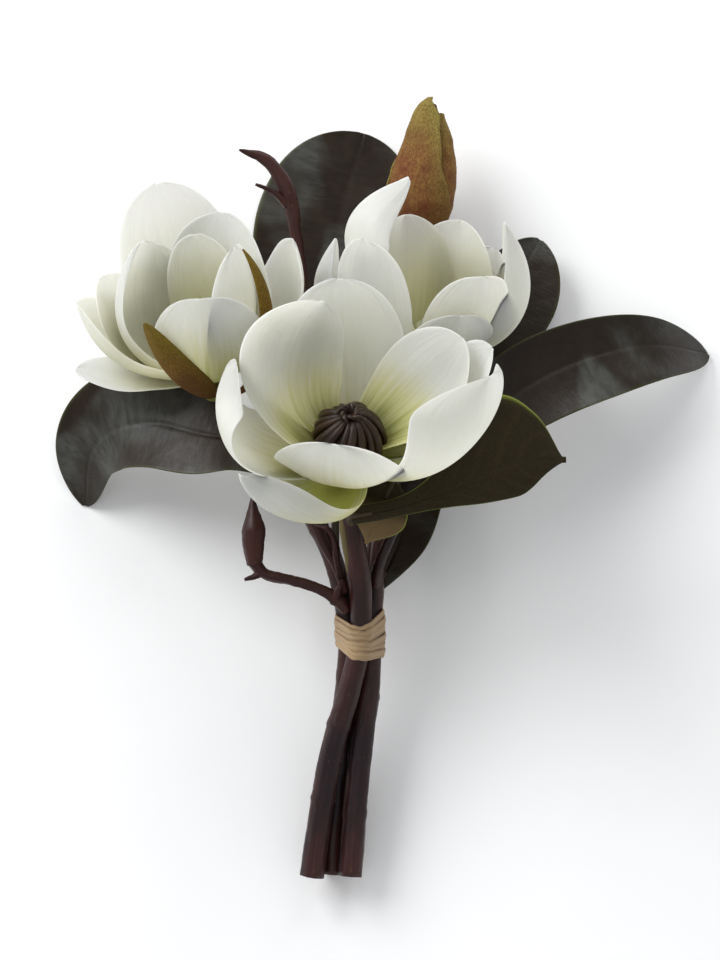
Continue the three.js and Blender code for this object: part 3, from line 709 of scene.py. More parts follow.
def magnolia_bloom(name, bloom, petals, settings, finishes, node):
    parts = [
        petal(f"{name}_{i}", bloom, row, settings.petal_thickness * PER_METRE, seed=i * 1.7 + len(name))
        for i, row in enumerate(petals)
    ]
    for part in parts:
        coat(part, *finishes)
    base = tube("base", [bloom.along(d) for d in BASE_HEIGHTS], BASE_RADII, around=24, along=14)
    coat(base, finishes[3])
    finish_piece(name, parts + [base], node, "petal")


# ---- cones ----

SEED_CONE = [(4.4, 0), (4.4, 4), (12.4, 8), (14.6, 11.5), (13.6, 17), (9.6, 22), (5, 25.5), (2.4, 28)]
STRAPS, TIPS = 26, 9
# each: (distance from the axis, height, degrees wound round it); a tip's last figure lets it vary
STRAP = [(2.6, 27.5, 30), (6.5, 26.2, 22), (11.2, 22.2, 14), (15, 16.5, 6), (16, 11, 1), (13.2, 6.8, -3)]
STRAP_RADII = (0.9, 1.5, 1.9, 1.9, 1.5, 0.8)
TIP = [(1.6, 26.5, 0, 0), (2.8, 29.4, 14, 0), (4.4, 30.6, 40, 1), (5.4, 29.0, 60, 1)]
TIP_RADII = [1.3, 1.2, 1.0, 0.5]
YOUNG_CONE = [(4.4, 0), (4.4, 4), (5.2, 9), (5.2, 22), (3.6, 33), (1.0, 37)]


def lathe(name, bloom, profile, around, along, relief=None):
    """A turned body on a bloom's axis, from (radius, height) pairs, with its top drawn in."""
    heights = [h for _, h in profile]
    even = np.linspace(heights[0], heights[-1], 40)
    radii = np.interp(even, heights, [r for r, _ in profile])
    radii = np.convolve(np.pad(radii, 1, mode="edge"), [0.25, 0.5, 0.25], mode="valid")
    line = [bloom.along(h) for h in (heights[0], (heights[0] + heights[-1]) / 2, heights[-1])]
    return tube(name, line, radii, around, along, relief)


def seed_cone(finish):
    """A dark dome of straps that wind down from a knot of curled tips."""
    bloom = FRONT_BLOOM
    parts = [lathe("dome", bloom, SEED_CONE, 40, 30)]

    def stations(turn, rows):
        return [bloom.along(h) + bloom.outward(np.array(turn + wound)) * r for r, h, wound in rows]

    for i in range(STRAPS):
        turn, out = 360 / STRAPS * i + 8 * math.sin(i * 2.3), 0.7 * math.sin(i * 5.1)
        broad = 1 + 0.25 * math.sin(i * 3.7)
        line = stations(turn, [(r + out, h, wound) for r, h, wound in STRAP])
        parts.append(tube(f"strap_{i}", line, [k * broad for k in STRAP_RADII], around=8, along=14))
    for i in range(TIPS):
        out = math.sin(i * 3.0)
        line = stations(360 / TIPS * i, [(r + out * free, h, wound) for r, h, wound, free in TIP])
        parts.append(tube(f"tip_{i}", line, TIP_RADII, around=8, along=8))
    finish_piece("front_cone", parts, "cone_front", "seed_cone", finish)


def young_cone(name, bloom, height, node, finish):
    profile = [(r, h * height) for r, h in YOUNG_CONE]

    def scales(angle, distance, grain, centre):
        wave = np.cos(5 * angle + distance * 0.9) * np.cos(3 * angle - distance * 0.75)
        return 0.45 * wave * smooth(5, 9, distance)

    finish_piece(name, [lathe(name, bloom, profile, 32, 60, scales)], node, "young_cone", finish)


# ---- bud ----

BUD_BASE = np.array([30.5, 192, -50])
BUD_HEIGHTS = [0, 4, 10, 20, 31, 44, 54, 62, 68, 72, 75]
BUD_RADII = [4.4, 7.2, 11.0, 14.6, 15.8, 13.6, 10.8, 8.2, 5.9, 4.0, 1.2]
BUD_SWAY = [0, 0, 0, 0, 0.2, 2.2, 2.9, 2.7, 2.6, 3.2, 4.2]
BUD_LENGTH = BUD_HEIGHTS[-1]
BUD_LEAN = (0.02, -0.03)  # how far its middle drifts to the right and back for each mm of height
SCALE_THICK = 1.1


def bud_point(height, degrees, out):
    """A point of the bud: its height, its azimuth (0 right, 90 to the face) and its distance off the body."""
    h = np.clip(height, 0, BUD_LENGTH)
    radius = np.interp(h, BUD_HEIGHTS, BUD_RADII) + out
    a = np.radians(degrees)
    middle = [np.interp(h, BUD_HEIGHTS, BUD_SWAY) + BUD_LEAN[0] * h, height, BUD_LEAN[1] * h]
    centre = BUD_BASE + np.stack(middle, axis=1)
    return centre + np.stack([np.cos(a) * radius, 0 * h, np.sin(a) * radius], axis=1)


# left, right: the margins' azimuths at five heights; low, high: where a scale starts and ends;
# off: how far it stands off the body; groove: how deep the seam beside the next scale is, and how dark its
# painted shadow
BUD_SCALES = [
    dict(name="back", left=(330, 335, 335, 330, 320), right=(195, 200, 205, 210, 215), low=1, high=73,
         off=-0.2),
    dict(name="right", left=(88, 92, 92, 88, 80), right=(-110, -100, -95, -90, -85), low=2, high=67, off=0.3,
         groove=1.8),
    dict(name="left", left=(282, 276, 262, 240, 222), right=(128, 142, 158, 172, 192), low=1, high=49,
         off=1.9),
    dict(name="front", left=(214, 212, 208, 205, 202), right=(2, 34, 64, 66, 44), low=2, high=75, off=1.1),
]


def bud_scale(row, seed):
    obj, u, v = grid(f"scale_{row['name']}", 20, 44)
    height = mix(row["low"], row["high"], v)
    steps = np.linspace(0, 1, 5)
    left, right = np.interp(v, steps, row["left"]), np.interp(v, steps, row["right"])
    # the scale draws in to a blunt point
    close = smooth(0.0, 1.0, (v - 0.82) / 0.18) ** 2 * 0.55
    middle = (left + right) / 2
    azimuth = mix(mix(left, right, (1 - u) / 2), middle, close)
    flat = np.stack([np.cos(np.radians(azimuth)) * 14, height, np.sin(np.radians(azimuth)) * 14], axis=1)
    edge = smooth(0.72, 1.0, np.abs(u))
    out = row["off"] + 0.55 * lumps(flat, 0.11, seed) + 0.3 * lumps(flat, 0.3, seed + 5)
    out = out + edge * 1.1 * smooth(0.1, 0.3, v) * (1 - smooth(0.85, 1, v))
    # beside the front scale's margin the surface dips into a seam, with painted shadow in it
    groove = smooth(0.55, 0.78, u) * smooth(0.1, 0.4, v) * (1 - 0.6 * smooth(0.7, 1, v))
    out = out - row.get("groove", 0) * groove
    out = out + 0.5 * np.cos(5 * u + seed) * smooth(0.1, 0.5, v) * (1 - smooth(0.7, 1, v))
    set_points(obj, laid_down(bud_point(height, azimuth, out)))
    margin = smooth(0.86, 0.98, np.abs(u)) * smooth(0.2, 0.5, v)
    olive = np.clip(smooth(0.5, 1.0, v) * 0.9 + 0.5 * margin, 0, 1)
    olive = np.clip(olive + 0.4 * smooth(0.35, 1, -u) * smooth(0.05, 0.35, v), 0, 1)
    # darker towards the scale's base, and painted shadow in the seam beside the front scale
    dark = 0.5 * (1 - smooth(0, 0.22, v)) + 0.5 * min(row.get("groove", 0), 1) * groove
    note(obj, "tone", np.stack([olive * (1 - dark), dark, 0 * v], axis=1))
    thicken(obj, SCALE_THICK, np.ones(len(v)), rim=0)
    return obj


HAIR_RADIUS = 0.00007
HAIR_ROOT = 0.0002  # how deep a hair stands in the skin
HAIR_LEAN = np.array([0, 0.5, 0.1])  # towards the tip
HAIR_STRAY = 0.35


def hairs(obj, count, long, seed):
    """Short hairs that stand on a furred piece, each a thin three-sided spike."""
    rng = np.random.default_rng(seed)
    mesh = obj.data
    mesh.calc_loop_triangles()
    co = points_of(obj)
    triangles = held(mesh.loop_triangles, "vertices", 3, int)
    normals = np.array([v.normal[:] for v in mesh.vertices])
    tones = held(mesh.attributes["tone"].data, "vector", 3)
    a, b, c = (co[triangles[:, i]] for i in range(3))
    area = np.linalg.norm(np.cross(b - a, c - a), axis=1)
    pick = rng.choice(len(area), count, p=area / area.sum())
    w = rng.random((count, 2))
    w = np.where(w.sum(1)[:, None] > 1, 1 - w, w)
    weights = np.stack([1 - w.sum(1), w[:, 0], w[:, 1]], axis=1)

    def across(values):
        return np.einsum("ij,ijk->ik", weights, values[triangles[pick]])

    foot, normal = across(co), unit(across(normals))
    lean = unit(normal + rng.normal(0, HAIR_STRAY, (count, 3)) + HAIR_LEAN)
    side = unit(np.cross(lean, rng.normal(0, 1, (count, 3))))
    other = np.cross(lean, side)
    size = long / PER_METRE * rng.uniform(0.5, 1.2, count)[:, None]
    root = foot - normal * HAIR_ROOT
    corners = [root + (side * math.cos(k) + other * math.sin(k)) * HAIR_RADIUS for k in (0, 2.094, 4.189)]
    tip = foot + lean * size
    points = np.stack([*corners, tip], axis=1).reshape(-1, 3)
    order = np.arange(count)[:, None] * 4
    faces = np.concatenate([order + f for f in ((0, 2, 1), (0, 1, 3), (1, 2, 3), (2, 0, 3))])
    fuzz = bpy.data.meshes.new(f"{obj.name}_hairs")
    fuzz.from_pydata(points.tolist(), [], faces.tolist())
    fuzz.uv_layers.new(name="UVMap")
    hair = bpy.data.objects.new(fuzz.name, fuzz)
    bpy.context.scene.collection.objects.link(hair)
    note(hair, "tone", np.repeat(across(tones), 4, axis=0))
    return hair


def bud(finish, settings):
    across, back = BUD_LEAN
    line = [BUD_BASE + (across * h + s, h, back * h) for h, s in zip(BUD_HEIGHTS[:-1], BUD_SWAY[:-1])]
    core = tube("core", line, [max(r - 1.0, 0.6) for r in BUD_RADII[:-1]], around=32, along=40)
    note(core, "tone", np.tile([0.2, 0.8, 0], (len(core.data.vertices), 1)))
    body = joined("bud_scales", [bud_scale(row, i * 3.1 + 1) for i, row in enumerate(BUD_SCALES)])
    fuzz = hairs(body, settings.bud_hairs, settings.hair_length * PER_METRE, seed=7)
    finish_piece("velvet_bud", [body, core, fuzz], "bud", "bud_fur", finish)


# ---- bracts ----

BRACT = dict(neck=0.5, belly=0.4, point=0.8, root=9.5, rise=-6, ripple=0.25)
BRACT_THICK = 1.2
SHORT_HAIR = 0.7  # a bract's hairs, as a share of the bud's
BRACTS = [
    ("low_bract", LEFT_BLOOM, "bract_left_low",
     dict(turn=275, swing=-30, reach=34, high=47, to=8, wide=23, point=0.55, leave=54)),
    ("high_bract", LEFT_BLOOM, "bract_left_high",
     dict(turn=325, swing=26, reach=31, high=71, to=-40, wide=13)),
    ("front_bract", FRONT_BLOOM, "bract_front",
     dict(turn=244, root=6.5, rise=-9, reach=26, high=-19, to=125, wide=18, leave=100)),
]


def bract(name, bloom, node, row, finish, settings):
    def tone(u, v):
        gold = np.clip(0.25 + 0.6 * smooth(0.4, 1, v) + 0.4 * smooth(0.4, 1, u), 0, 1)
        return np.stack([gold, 0.45 * (1 - smooth(0.1, 0.7, v)), 0 * v], axis=1)

    obj = petal(name, bloom, {**BRACT, **row}, BRACT_THICK, seed=len(name), across=12, along=30, tone=tone)
    for face in obj.data.polygons:
        face.material_index = 0
    fuzz = hairs(obj, settings.bract_hairs, settings.hair_length * SHORT_HAIR * PER_METRE, seed=len(name))
    finish_piece(name, [obj, fuzz], node, "bract", finish)


# ---- leaves ----

LEAVES = [
    dict(
        name="left_leaf", node="leaf_left",
        points=[(-38, 86, 0), (-58, 95.5, 3), (-77, 99, -1), (-98, 104, -11), (-118, 102, -22),
                (-132, 90, -33), on_table(-136, 64, 0.45)],
        face=(0, 0.5, 1), face_end=(-0.5, -0.1, 0.8), wide=51, cup=(14, 20), neck=0.4, belly=0.58,
        skew=-0.12, wave=1.2,
        stalk=[(-26, 66, -5), (-32, 75, -2)],
    ),
    dict(
        name="right_leaf", node="leaf_right",
        points=[(18, 77, 1), (41, 93, 0), (65, 111, -5), (89, 127, -10), (116, 138, -18), (145, 143, -32),
                on_table(174, 140, 1.17)],
        face=(-0.1, 0.15, 1), face_end=(0.3, 0.3, 0.9), wide=44, cup=(16, 18), belly=0.5, point=0.5,
        skew=-0.12, wave=1.2,
        stalk=[(8, 44, -9), (11, 62, -3)],
    ),
    dict(
        name="lower_right_leaf", node="leaf_lower_right", turned_over=True,
        points=[(-3, 60, 27), (12, 62.5, 29), (28, 67, 31), (48, 74.5, 33), (67, 82, 33.5), (82, 85.6, 31),
                (97, 86, 26)],
        face=(-0.2, -0.3, 1), face_end=(0.1, -0.1, 1), wide=50, cup=(-14, -8), neck=0.18, belly=0.7,
        point=1.5, waist=7, skew=0.4, rim=0.9,
        stalk=[(-4, 56, 17), (-5, 59, 23)],
    ),
    dict(
        name="small_leaf", node="leaf_small", turned_over=True,
        points=[(15, 76, 16.5), (12.5, 69, 19), (9, 60.5, 21), (6, 53.5, 20.5), (2.8, 46.5, 19)],
        face=(-0.1, 0, 1), wide=27, cup=(-12, -6), neck=0.3, belly=0.5, point=1.5, rim=1.0, young=1.0,
        stalk=[(-3, 70, 20), (7, 77, 16)],
    ),
    dict(
        name="low_back_leaf", node="leaf_low_back",
        points=[(9, 24, -9), (14, 36, -13), (20, 50, -17), (25, 66, -21), (31, 84, -26), (38, 104, -32)],
        face=(0, 0, 1), wide=30, neck=0.12,
        stalk=[(6, 12, -5), (7, 18, -6)],
    ),
    dict(
        name="upper_right_leaf", node="leaf_upper_right",
        points=[(44, 118, -40), (60, 146, -46), (76, 173, -52), (90, 197, -60)],
        face=(0, 0, 1), wide=46, neck=0.2, belly=0.5, point=0.55, skew=-0.15,
        stalk=[(16, 76, -22), (30, 98, -34)],
    ),
    dict(
        name="back_leaf", node="leaf_back",
        points=[(-12, 112, -48), (-14, 148, -62), (-14, 184, -70), (-8, 219, -77), on_table(2, 253, 0.52)],
        face=(0, 0.15, 1), wide=84, cup=(8, 6), belly=0.62, point=0.5,
        stalk=[(-12, 42, -8), (-12, 78, -30)],
    ),
]


LEAF = dict(
    cup=(14, 14), neck=0.1, belly=0.55, point=0.6, waist=1, skew=0, wave=0.0, rim=0.12, young=0.0,
    turned_over=False,
)
RIB_WIDTH = 1.1
RIB_DEPTH = 0.75
VEIN_DEPTH = 0.16
VEINS = 9
STALK_IN = 9  # how far a stalk runs on into its leaf
STALK_RADII = (2.1, 0.9)


def leaf(row, thick, finishes, seed):
    row = {**LEAF, **row}
    obj, u, v = grid(row["name"], 32, 60)
    line = Line(row["points"])
    tangent = line.tangent(v)
    face = mix(np.array(row["face"], float), np.array(row.get("face_end", row["face"]), float), v[:, None])
    side = unit(np.cross(face, tangent))
    half = row["wide"] / 2 * outline(v, row["neck"], row["belly"], row["point"], row["waist"])
    half = half * (1 + row["skew"] * u * smooth(0.2, 0.7, v))
    long = line.length / row["wide"]
    veins = np.cos(2 * np.pi * (VEINS * v * long / 2 - 1.9 * np.abs(u) ** 1.2))
    lateral = smooth(0.2, 1.0, veins) * smooth(0.04, 0.12, np.abs(u)) * (1 - smooth(0.8, 0.98, np.abs(u)))
    rib = np.exp(-((u * row["wide"] / 2 / RIB_WIDTH) ** 2)) * (1 - 0.6 * v)
    lift = row["wave"] * np.sin(9 * v + 2 * np.sign(u)) * u * u * v
    lift = lift - RIB_DEPTH * rib - VEIN_DEPTH * lateral * (half / row["wide"])
    lift = lift + 0.4 * np.sin(14 * v + seed) * u**4
    points = blade(u, v, line.at(v), tangent, side, half, row["cup"], lift)
    set_points(obj, laid_down(points))
    note(obj, "vein", np.clip(0.9 * rib + 0.55 * lateral, 0, 1))
    note(obj, "rim", row["rim"] * smooth(0.93, 0.99, np.abs(u)))
    note(obj, "young", row["young"] * smooth(0.3, 0.55, v))
    thicken(obj, thick, 1 - 0.3 * smooth(0.8, 1, np.abs(u)))
    root, ahead = np.array(row["points"][0], float), unit(np.subtract(row["points"][1], row["points"][0]))
    path = [*row["stalk"], root, root + ahead * STALK_IN]
    stalk = tube("stalk", path, [mix(*STALK_RADII, i / (len(path) - 1)) for i in range(len(path))], 14, 36)
    note(stalk, "vein", 0.3 * np.ones(len(stalk.data.vertices)))
    for name in ("rim", "young"):
        note(stalk, name, np.zeros(len(stalk.data.vertices)))
    top, under, edge, stalk_finish = finishes
    over = row["turned_over"]
    coat(obj, under if over else top, top if over else under, edge)
    coat(stalk, stalk_finish)
    finish_piece(row["name"], [obj, stalk], row["node"], "leaf_underside" if over else "leaf")


# ---- stems and twigs ----


def neck_of(bloom, distance):
    return bloom.along(-NECK - distance)


STEM_ROUTES = {  # each stem: its line, its radii, and where its knots are along it
    "front": (
        [(-23, CUT_END_Y, 2), (-14.5, -58, 4.2), (-4.2, -20, 6.2), STEMS_IN_TIE["front"], (0.4, 20, 7.4),
         (-1.8, 42, 10), neck_of(FRONT_BLOOM, 9), neck_of(FRONT_BLOOM, GAP)],
        [5.9, 5.6, 5.3, 5.2, 5.3, 5.3, 5.1, 5],
        (38, 74, 148),
    ),
    "left": (
        [(-13.9, CUT_END_Y, -7.5), (-10.3, -60, -7.4), (-6.4, -20, -4.6), STEMS_IN_TIE["left"],
         (-7.6, 18, -3.4), (-13.5, 40, -4), (-29, 68, -5), neck_of(LEFT_BLOOM, 10), neck_of(LEFT_BLOOM, GAP)],
        [5.9, 5.6, 5.3, 5.2, 5.0, 4.7, 4.6, 4.8, 5],
        (52, 96, 170),
    ),
    "right": (
        [(-4.8, CUT_END_Y, 1), (-0.4, -60, -0.6), (4.4, -20, -2.6), STEMS_IN_TIE["right"], (6.2, 18, -5),
         (8, 42, -10), (17, 80, -22), neck_of(RIGHT_BLOOM, 10), neck_of(RIGHT_BLOOM, GAP)],
        [5.9, 5.6, 5.3, 5.2, 5.0, 4.8, 4.6, 4.8, 5],
        (30, 86, 160),
    ),
}
BUD_BRANCH = (
    [(8, 44, -11), (9, 80, -30), (12, 122, -47), (14, 152, -56), (22, 172, -58), (30.3, 183, -49.7),
     (30.5, 191.7, -50)],
    [3.8, 3.6, 3.4, 3.4, 3.6, 4.2, 4.4],
)
LEAF_SHOOT = (
    [(6.5, 24, -5), (9, 36, 3), (15, 50, 11), (20, 60, 14), (22, 67, 15)],
    [3.2, 2.7, 2.2, 2.0, 1.8],
)
STIPULE = (
    [(-8.6, 62, 18), (-7.8, 54, 15.5), (-6.2, 44, 12.4), (-5.2, 36, 10.2), (-4.4, 29, 8.6)],
    [1.4, 2.0, 2.1, 1.8, 1.2],
)


PLAIN_DEPTH = 0.3  # of the bark's lumps, at a depth of 1
BRANCH_DEPTH, STRIP_DEPTH, TWIG_DEPTH = 0.7, 0.6, 1.8


def bark_relief(seed, depth, knots=()):
    """Ridges along a limb, lumps, and a swollen ring at each knot; calm where the tie holds the stems."""

    def relief(angle, distance, grain, centre):
        drift = lumps(grain * [1, 1, 0.25], 0.16, seed)
        ridges = np.cos(7 * angle + 3 * drift + seed) * 0.14 + np.cos(13 * angle - 4 * drift) * 0.07
        bumps = 0.3 * lumps(grain * [1, 1, 0.6], 0.22, seed + 9) + 0.16 * lumps(grain, 0.6, seed + 4)
        rings = sum(0.5 * np.exp(-(((distance - k) / 1.6) ** 2)) for k in knots) if knots else 0
        calm = 0.25 + 0.75 * smooth(13, 22, np.abs(centre[:, 1]))
        return depth * (ridges + bumps) * calm + rings

    return relief


def woody(name, points, radii, around, along, relief, bark, cut, hollow_end=0.0):
    """A limb with its bark, and the bare wood on its cut lower end."""
    obj = tube(name, points, radii, around, along, relief, hollow_end)
    coat(obj, bark, cut)
    share, rings = (held(obj.data.attributes[key].data, "value") for key in ("share", "ring"))
    for face in obj.data.polygons:
        corners = list(face.vertices)
        if share[corners].max() < 1e-6 and rings[corners].max() < 1.01:
            face.material_index = 1
    return obj


def stems(settings, bark, cut, pale):
    depth = settings.bark_depth * PER_METRE / PLAIN_DEPTH
    for i, (name, (points, radii, knots)) in enumerate(STEM_ROUTES.items()):
        relief = bark_relief(i * 4.0 + 2, depth, knots)
        parts = [woody(f"{name}_stem", points, radii, 30, 170, relief, bark, cut, hollow_end=0.5)]
        if name == "right":
            for part, route, seed in (("bud_branch", BUD_BRANCH, 21), ("leaf_shoot", LEAF_SHOOT, 27)):
                parts.append(woody(part, *route, 20, 90, bark_relief(seed, BRANCH_DEPTH), bark, cut))
        if name == "front":
            parts.append(woody("stipule", *STIPULE, 16, 60, bark_relief(17, STRIP_DEPTH), pale, cut))
        finish_piece(f"{name}_stem", parts, f"stem_{name}", "stem")


def twig(name, node, limbs, finish, cut, seed):
    parts = []
    for i, limb in enumerate(limbs):
        parts.append(woody(f"{name}_{i}", *limb, bark_relief(seed + i, TWIG_DEPTH), finish, cut))
    finish_piece(name, parts, node, "twig")


# each limb of a twig: its line, its radii, and how many faces it has round and along it
TOP_TWIG = [
    (
        [(-6.5, 22, 1.5), (-10.5, 34, 1.6), (-17, 46, 4), (-22, 58, 4.4), (-26, 74, 0), (-28, 98, -9),
         (-28, 130, -18), (-29, 175, -26), (-32, 200, -27), (-36, 219, -27), (-46, 233, -26),
         (-59, 238, -24)],
        [2.4, 2.6, 2.7, 2.7, 2.6, 2.6, 2.6, 2.6, 2.9, 4.0, 2.8, 0.5], 16, 110,
    ),
    ([(-21.5, 55, 7), (-15, 53, 8.5), (-12, 48, 8.5), (-11, 40, 6.6), (-9.5, 30, 3)],
     [0.8, 1.4, 1.7, 1.8, 1.8], 12, 40),
    ([(-35, 211, -27), (-42, 217, -25), (-51, 221, -23)], [2.6, 1.5, 0.7], 12, 16),
    ([(-30, 186, -26), (-36, 191, -25), (-40, 192, -24)], [2, 1.5, 0.7], 12, 12),
]
LOW_TWIG = [
    (
        [(-6, 14, 4), (-10, 19, 6), (-18, 24, 8), (-33, 29, 9), (-46, 32.5, 9), (-50.5, 38, 9)],
        [3, 3.4, 2.6, 2.3, 2.6, 3.2], 16, 50,
    ),
    ([(-50.5, 36, 9), (-50.6, 44, 9), (-50.6, 53, 9), (-50.8, 61, 9), (-51, 69, 9)],
     [3.4, 5.0, 5.8, 3.2, 0.8], 18, 30),
    ([(-46, 33, 9), (-51, 30.5, 10), (-55, 29.4, 11)], [2.2, 1.4, 0.6], 12, 12),
    ([(-12, 18, 6), (-11, 23, 9), (-9, 27, 11)], [2.6, 2.4, 1.0], 12, 12),
]


# ---- tie ----

WINDINGS = [
    dict(y=10.6, pitch=24, roll=6, wide=4.2, off=0.2),
    dict(y=7.8, pitch=22, roll=2, wide=4.6, off=0.9),
    dict(y=4.6, pitch=19, roll=2, wide=4.8, off=0.4),
    dict(y=1.6, pitch=18, roll=-4, wide=4.4, off=1.0),
    dict(y=-1.2, pitch=15, roll=-12, wide=4.8, off=0.3),
    dict(y=-4.0, pitch=14, roll=-14, wide=4.4, off=0.7),
]


RAFFIA_CLEAR = 0.5  # between the stems' gap and the middle of the innermost winding
RAFFIA_PILE = 0.6  # how far a winding lies out for each mm of `off`
RAFFIA_DEEP = 0.55


def winding(i, row):
    """One turn of raffia round the three stems: a ribbon whose section is a flat, fibrous oval."""
    obj, u, _ = grid(f"winding_{i}", 14, 150)
    a = np.radians(360 * np.clip((points_of(obj)[:, 1] + 1) / 2, 0, 1))
    reach = STEM_RADIUS + GAP + RAFFIA_CLEAR + RAFFIA_PILE * row["off"]

    def belt(angle):
        """How far the belt round the three stems reaches in a direction."""
        reaches = [x * np.cos(angle) + z * np.sin(angle) for x, _, z in STEMS_IN_TIE.values()]
        return np.max(reaches, axis=0) + reach

    support, step = belt(a), 1e-3
    slope = (belt(a + step) - support) / step
    x, z = support * np.cos(a) - slope * np.sin(a), support * np.sin(a) + slope * np.cos(a)
    section = np.pi * (u + 1)
    high = row["wide"] / 2
    wobble = 0.35 * np.sin(3 * a + i) + 0.2 * np.sin(7 * a + 2 * i)
    y = row["y"] + high * np.cos(section) + wobble
    out = RAFFIA_DEEP * np.sin(section) + 0.1 * np.cos(9 * section + 2 * np.sin(2 * a + i))
    points = np.stack([x + np.cos(a) * out, y, z + np.sin(a) * out], axis=1)
    centre = np.array([0, row["y"], 0])
    tilted = spun(points - centre, 1, math.radians(row["pitch"]))
    set_points(obj, laid_down(spun(tilted, 0, math.radians(row["roll"])) + centre))
    grain = np.stack([np.cos(section) * high, np.sin(section) * RAFFIA_DEEP, a * 8], axis=1)
    note(obj, "grain", grain / PER_METRE)
    only(obj)
    bpy.ops.object.mode_set(mode="EDIT")
    bpy.ops.mesh.select_all(action="SELECT")
    bpy.ops.mesh.remove_doubles(threshold=1e-5)
    bpy.ops.mesh.normals_make_consistent(inside=False)
    bpy.ops.object.mode_set(mode="OBJECT")
    return obj


def tie(finish):
    finish_piece("raffia_tie", [winding(i, row) for i, row in enumerate(WINDINGS)], "tie", "raffia", finish)


# ---- what a user may change ----


def hue(name, what, default):
    return FloatVectorProperty(
        name=name, description=f"Colour of {what}", subtype="COLOR", default=default, min=0, max=1
    )


def number(kind, name, description, default, least, most, **more):
    return kind(name=name, description=description, default=default, min=least, max=most, **more)


def length(*figures):
    return number(FloatProperty, *figures, unit="LENGTH", precision=4)


class MagnoliaBloomSettings(bpy.types.PropertyGroup):
    petal_thickness: length("Petal thickness", "Thickness of a petal at its root", 0.0012, 0.0006, 0.003)
    white: hue("Petal white", "the petals' inner faces", paint(213, 214, 206))
    outer: hue("Outer white", "the petals' outer faces", paint(210, 214, 225))
    glow: hue("Petal glow", "petals that light shines through", paint(214, 209, 150))
    cream: hue("Cream", "the petals' inner faces half way down", paint(188, 184, 126))
    lime: hue("Lime", "the petals towards the heart", paint(128, 137, 36))
    # the colour round the seed cone is a real dark staining mixed with painted shade
    stain_and_shade: hue("Stain_and_shade", "the petals round the seed cone", paint(66, 60, 20))
    carpel: hue("Seed cone", "the seed cone", paint(34, 19, 8))


class MagnoliaLeafSettings(bpy.types.PropertyGroup):
    thickness: length("Leaf thickness", "Thickness of a leaf", 0.001, 0.0006, 0.002)
    upper: hue("Upper face", "the leaves' glossy upper faces", paint(27, 18, 8))
    under: hue("Underside", "the leaves' felted undersides", paint(48, 40, 20))
    edge: hue("Edge", "the leaves' cut edges", paint(150, 160, 74))


class MagnoliaWoodSettings(bpy.types.PropertyGroup):
    bark_depth: length("Bark depth", "Depth of the lumps and ridges of the bark", 0.0003, 0, 0.001)
    bark: hue("Bark", "the stems", paint(28, 14, 19))
    twig: hue("Twig", "the twigs", paint(40, 15, 11))
    raffia: hue("Raffia", "the tie", paint(172, 144, 108))


class MagnoliaFurSettings(bpy.types.PropertyGroup):
    bud_hairs: number(IntProperty, "Bud hairs", "Hairs on the bud", 7000, 0, 20000)
    bract_hairs: number(IntProperty, "Bract hairs", "Hairs on a bract", 1500, 0, 6000)
    hair_length: length("Hair length", "Length of a hair", 0.0007, 0, 0.003)
    rust: hue("Rust", "the fur", paint(106, 58, 35))
    gold: hue("Gold", "the fur's lighter patches", paint(132, 97, 50))
    olive: hue("Olive", "the fur at the tips", paint(134, 122, 60))


class MagnoliaStageSettings(bpy.types.PropertyGroup):
    floor: hue("Floor", "the floor", (0.96, 0.96, 0.96))
    world: number(FloatProperty, "World light", "Strength of the light all round", 0.6, 0, 5)
    key: number(FloatProperty, "Key light", "Power of the key light", 100, 0, 200, unit="POWER")
    back: number(FloatProperty, "Back light", "Power of the back light", 40, 0, 200, unit="POWER")


# ---- operators ----


def petal_finishes(s):
    tints = [tuple(c) for c in (s.glow, s.cream, s.lime, s.stain_and_shade)]
    return [
        petal_finish("petal_inner", tuple(s.white), *tints, 1.0),
        petal_finish("petal_outer", tuple(s.outer), *tints, 0.22),
        edge_finish("petal_edge", paint(226, 227, 220), 0.5, 0.4),
        edge_finish("bloom_base", paint(112, 118, 52), 0.6, 0.15),
    ]


class MAGNOLIA_OT_blooms(bpy.types.Operator):
    """Build the three open blooms from their petals"""

    bl_idname = "magnolia.blooms"
    bl_label = "Blooms"

    def execute(self, context):
        settings = context.scene.magnolia_blooms
        finishes = petal_finishes(settings)
        for side, (bloom, petals) in BLOOMS.items():
            magnolia_bloom(f"{side}_bloom", bloom, petals, settings, finishes, f"bloom_{side}")
        return {"FINISHED"}


class MAGNOLIA_OT_cones(bpy.types.Operator):
    """Build the seed cone of the front bloom and the young cones of the others"""

    bl_idname = "magnolia.cones"
    bl_label = "Cones"

    def execute(self, context):
        carpel = tuple(context.scene.magnolia_blooms.carpel)
        seed_cone(carpel_finish(carpel, shade(carpel, 1.9)))
        young = young_cone_finish(paint(226, 226, 196), paint(190, 192, 168))
        young_cone("left_cone", LEFT_BLOOM, 1.0, "cone_left", young)
        young_cone("right_cone", RIGHT_BLOOM, 0.6, "cone_right", young)
        return {"FINISHED"}


class MAGNOLIA_OT_bud(bpy.types.Operator):
    """Build the furred bud and the furred bracts of the blooms"""

    bl_idname = "magnolia.bud"
    bl_label = "Bud and bracts"

    def execute(self, context):
        s = context.scene.magnolia_fur
        rust, gold, olive = tuple(s.rust), tuple(s.gold), tuple(s.olive)
        bud(fur_finish("bud_fur", rust, gold, olive, paint(62, 34, 20)), s)
        tones = [paint(92, 50, 22), paint(112, 74, 26), paint(118, 102, 30), paint(44, 22, 10)]
        fur = fur_finish("bract_fur", *tones)
        for row in BRACTS:
            bract(*row, fur, s)
        return {"FINISHED"}


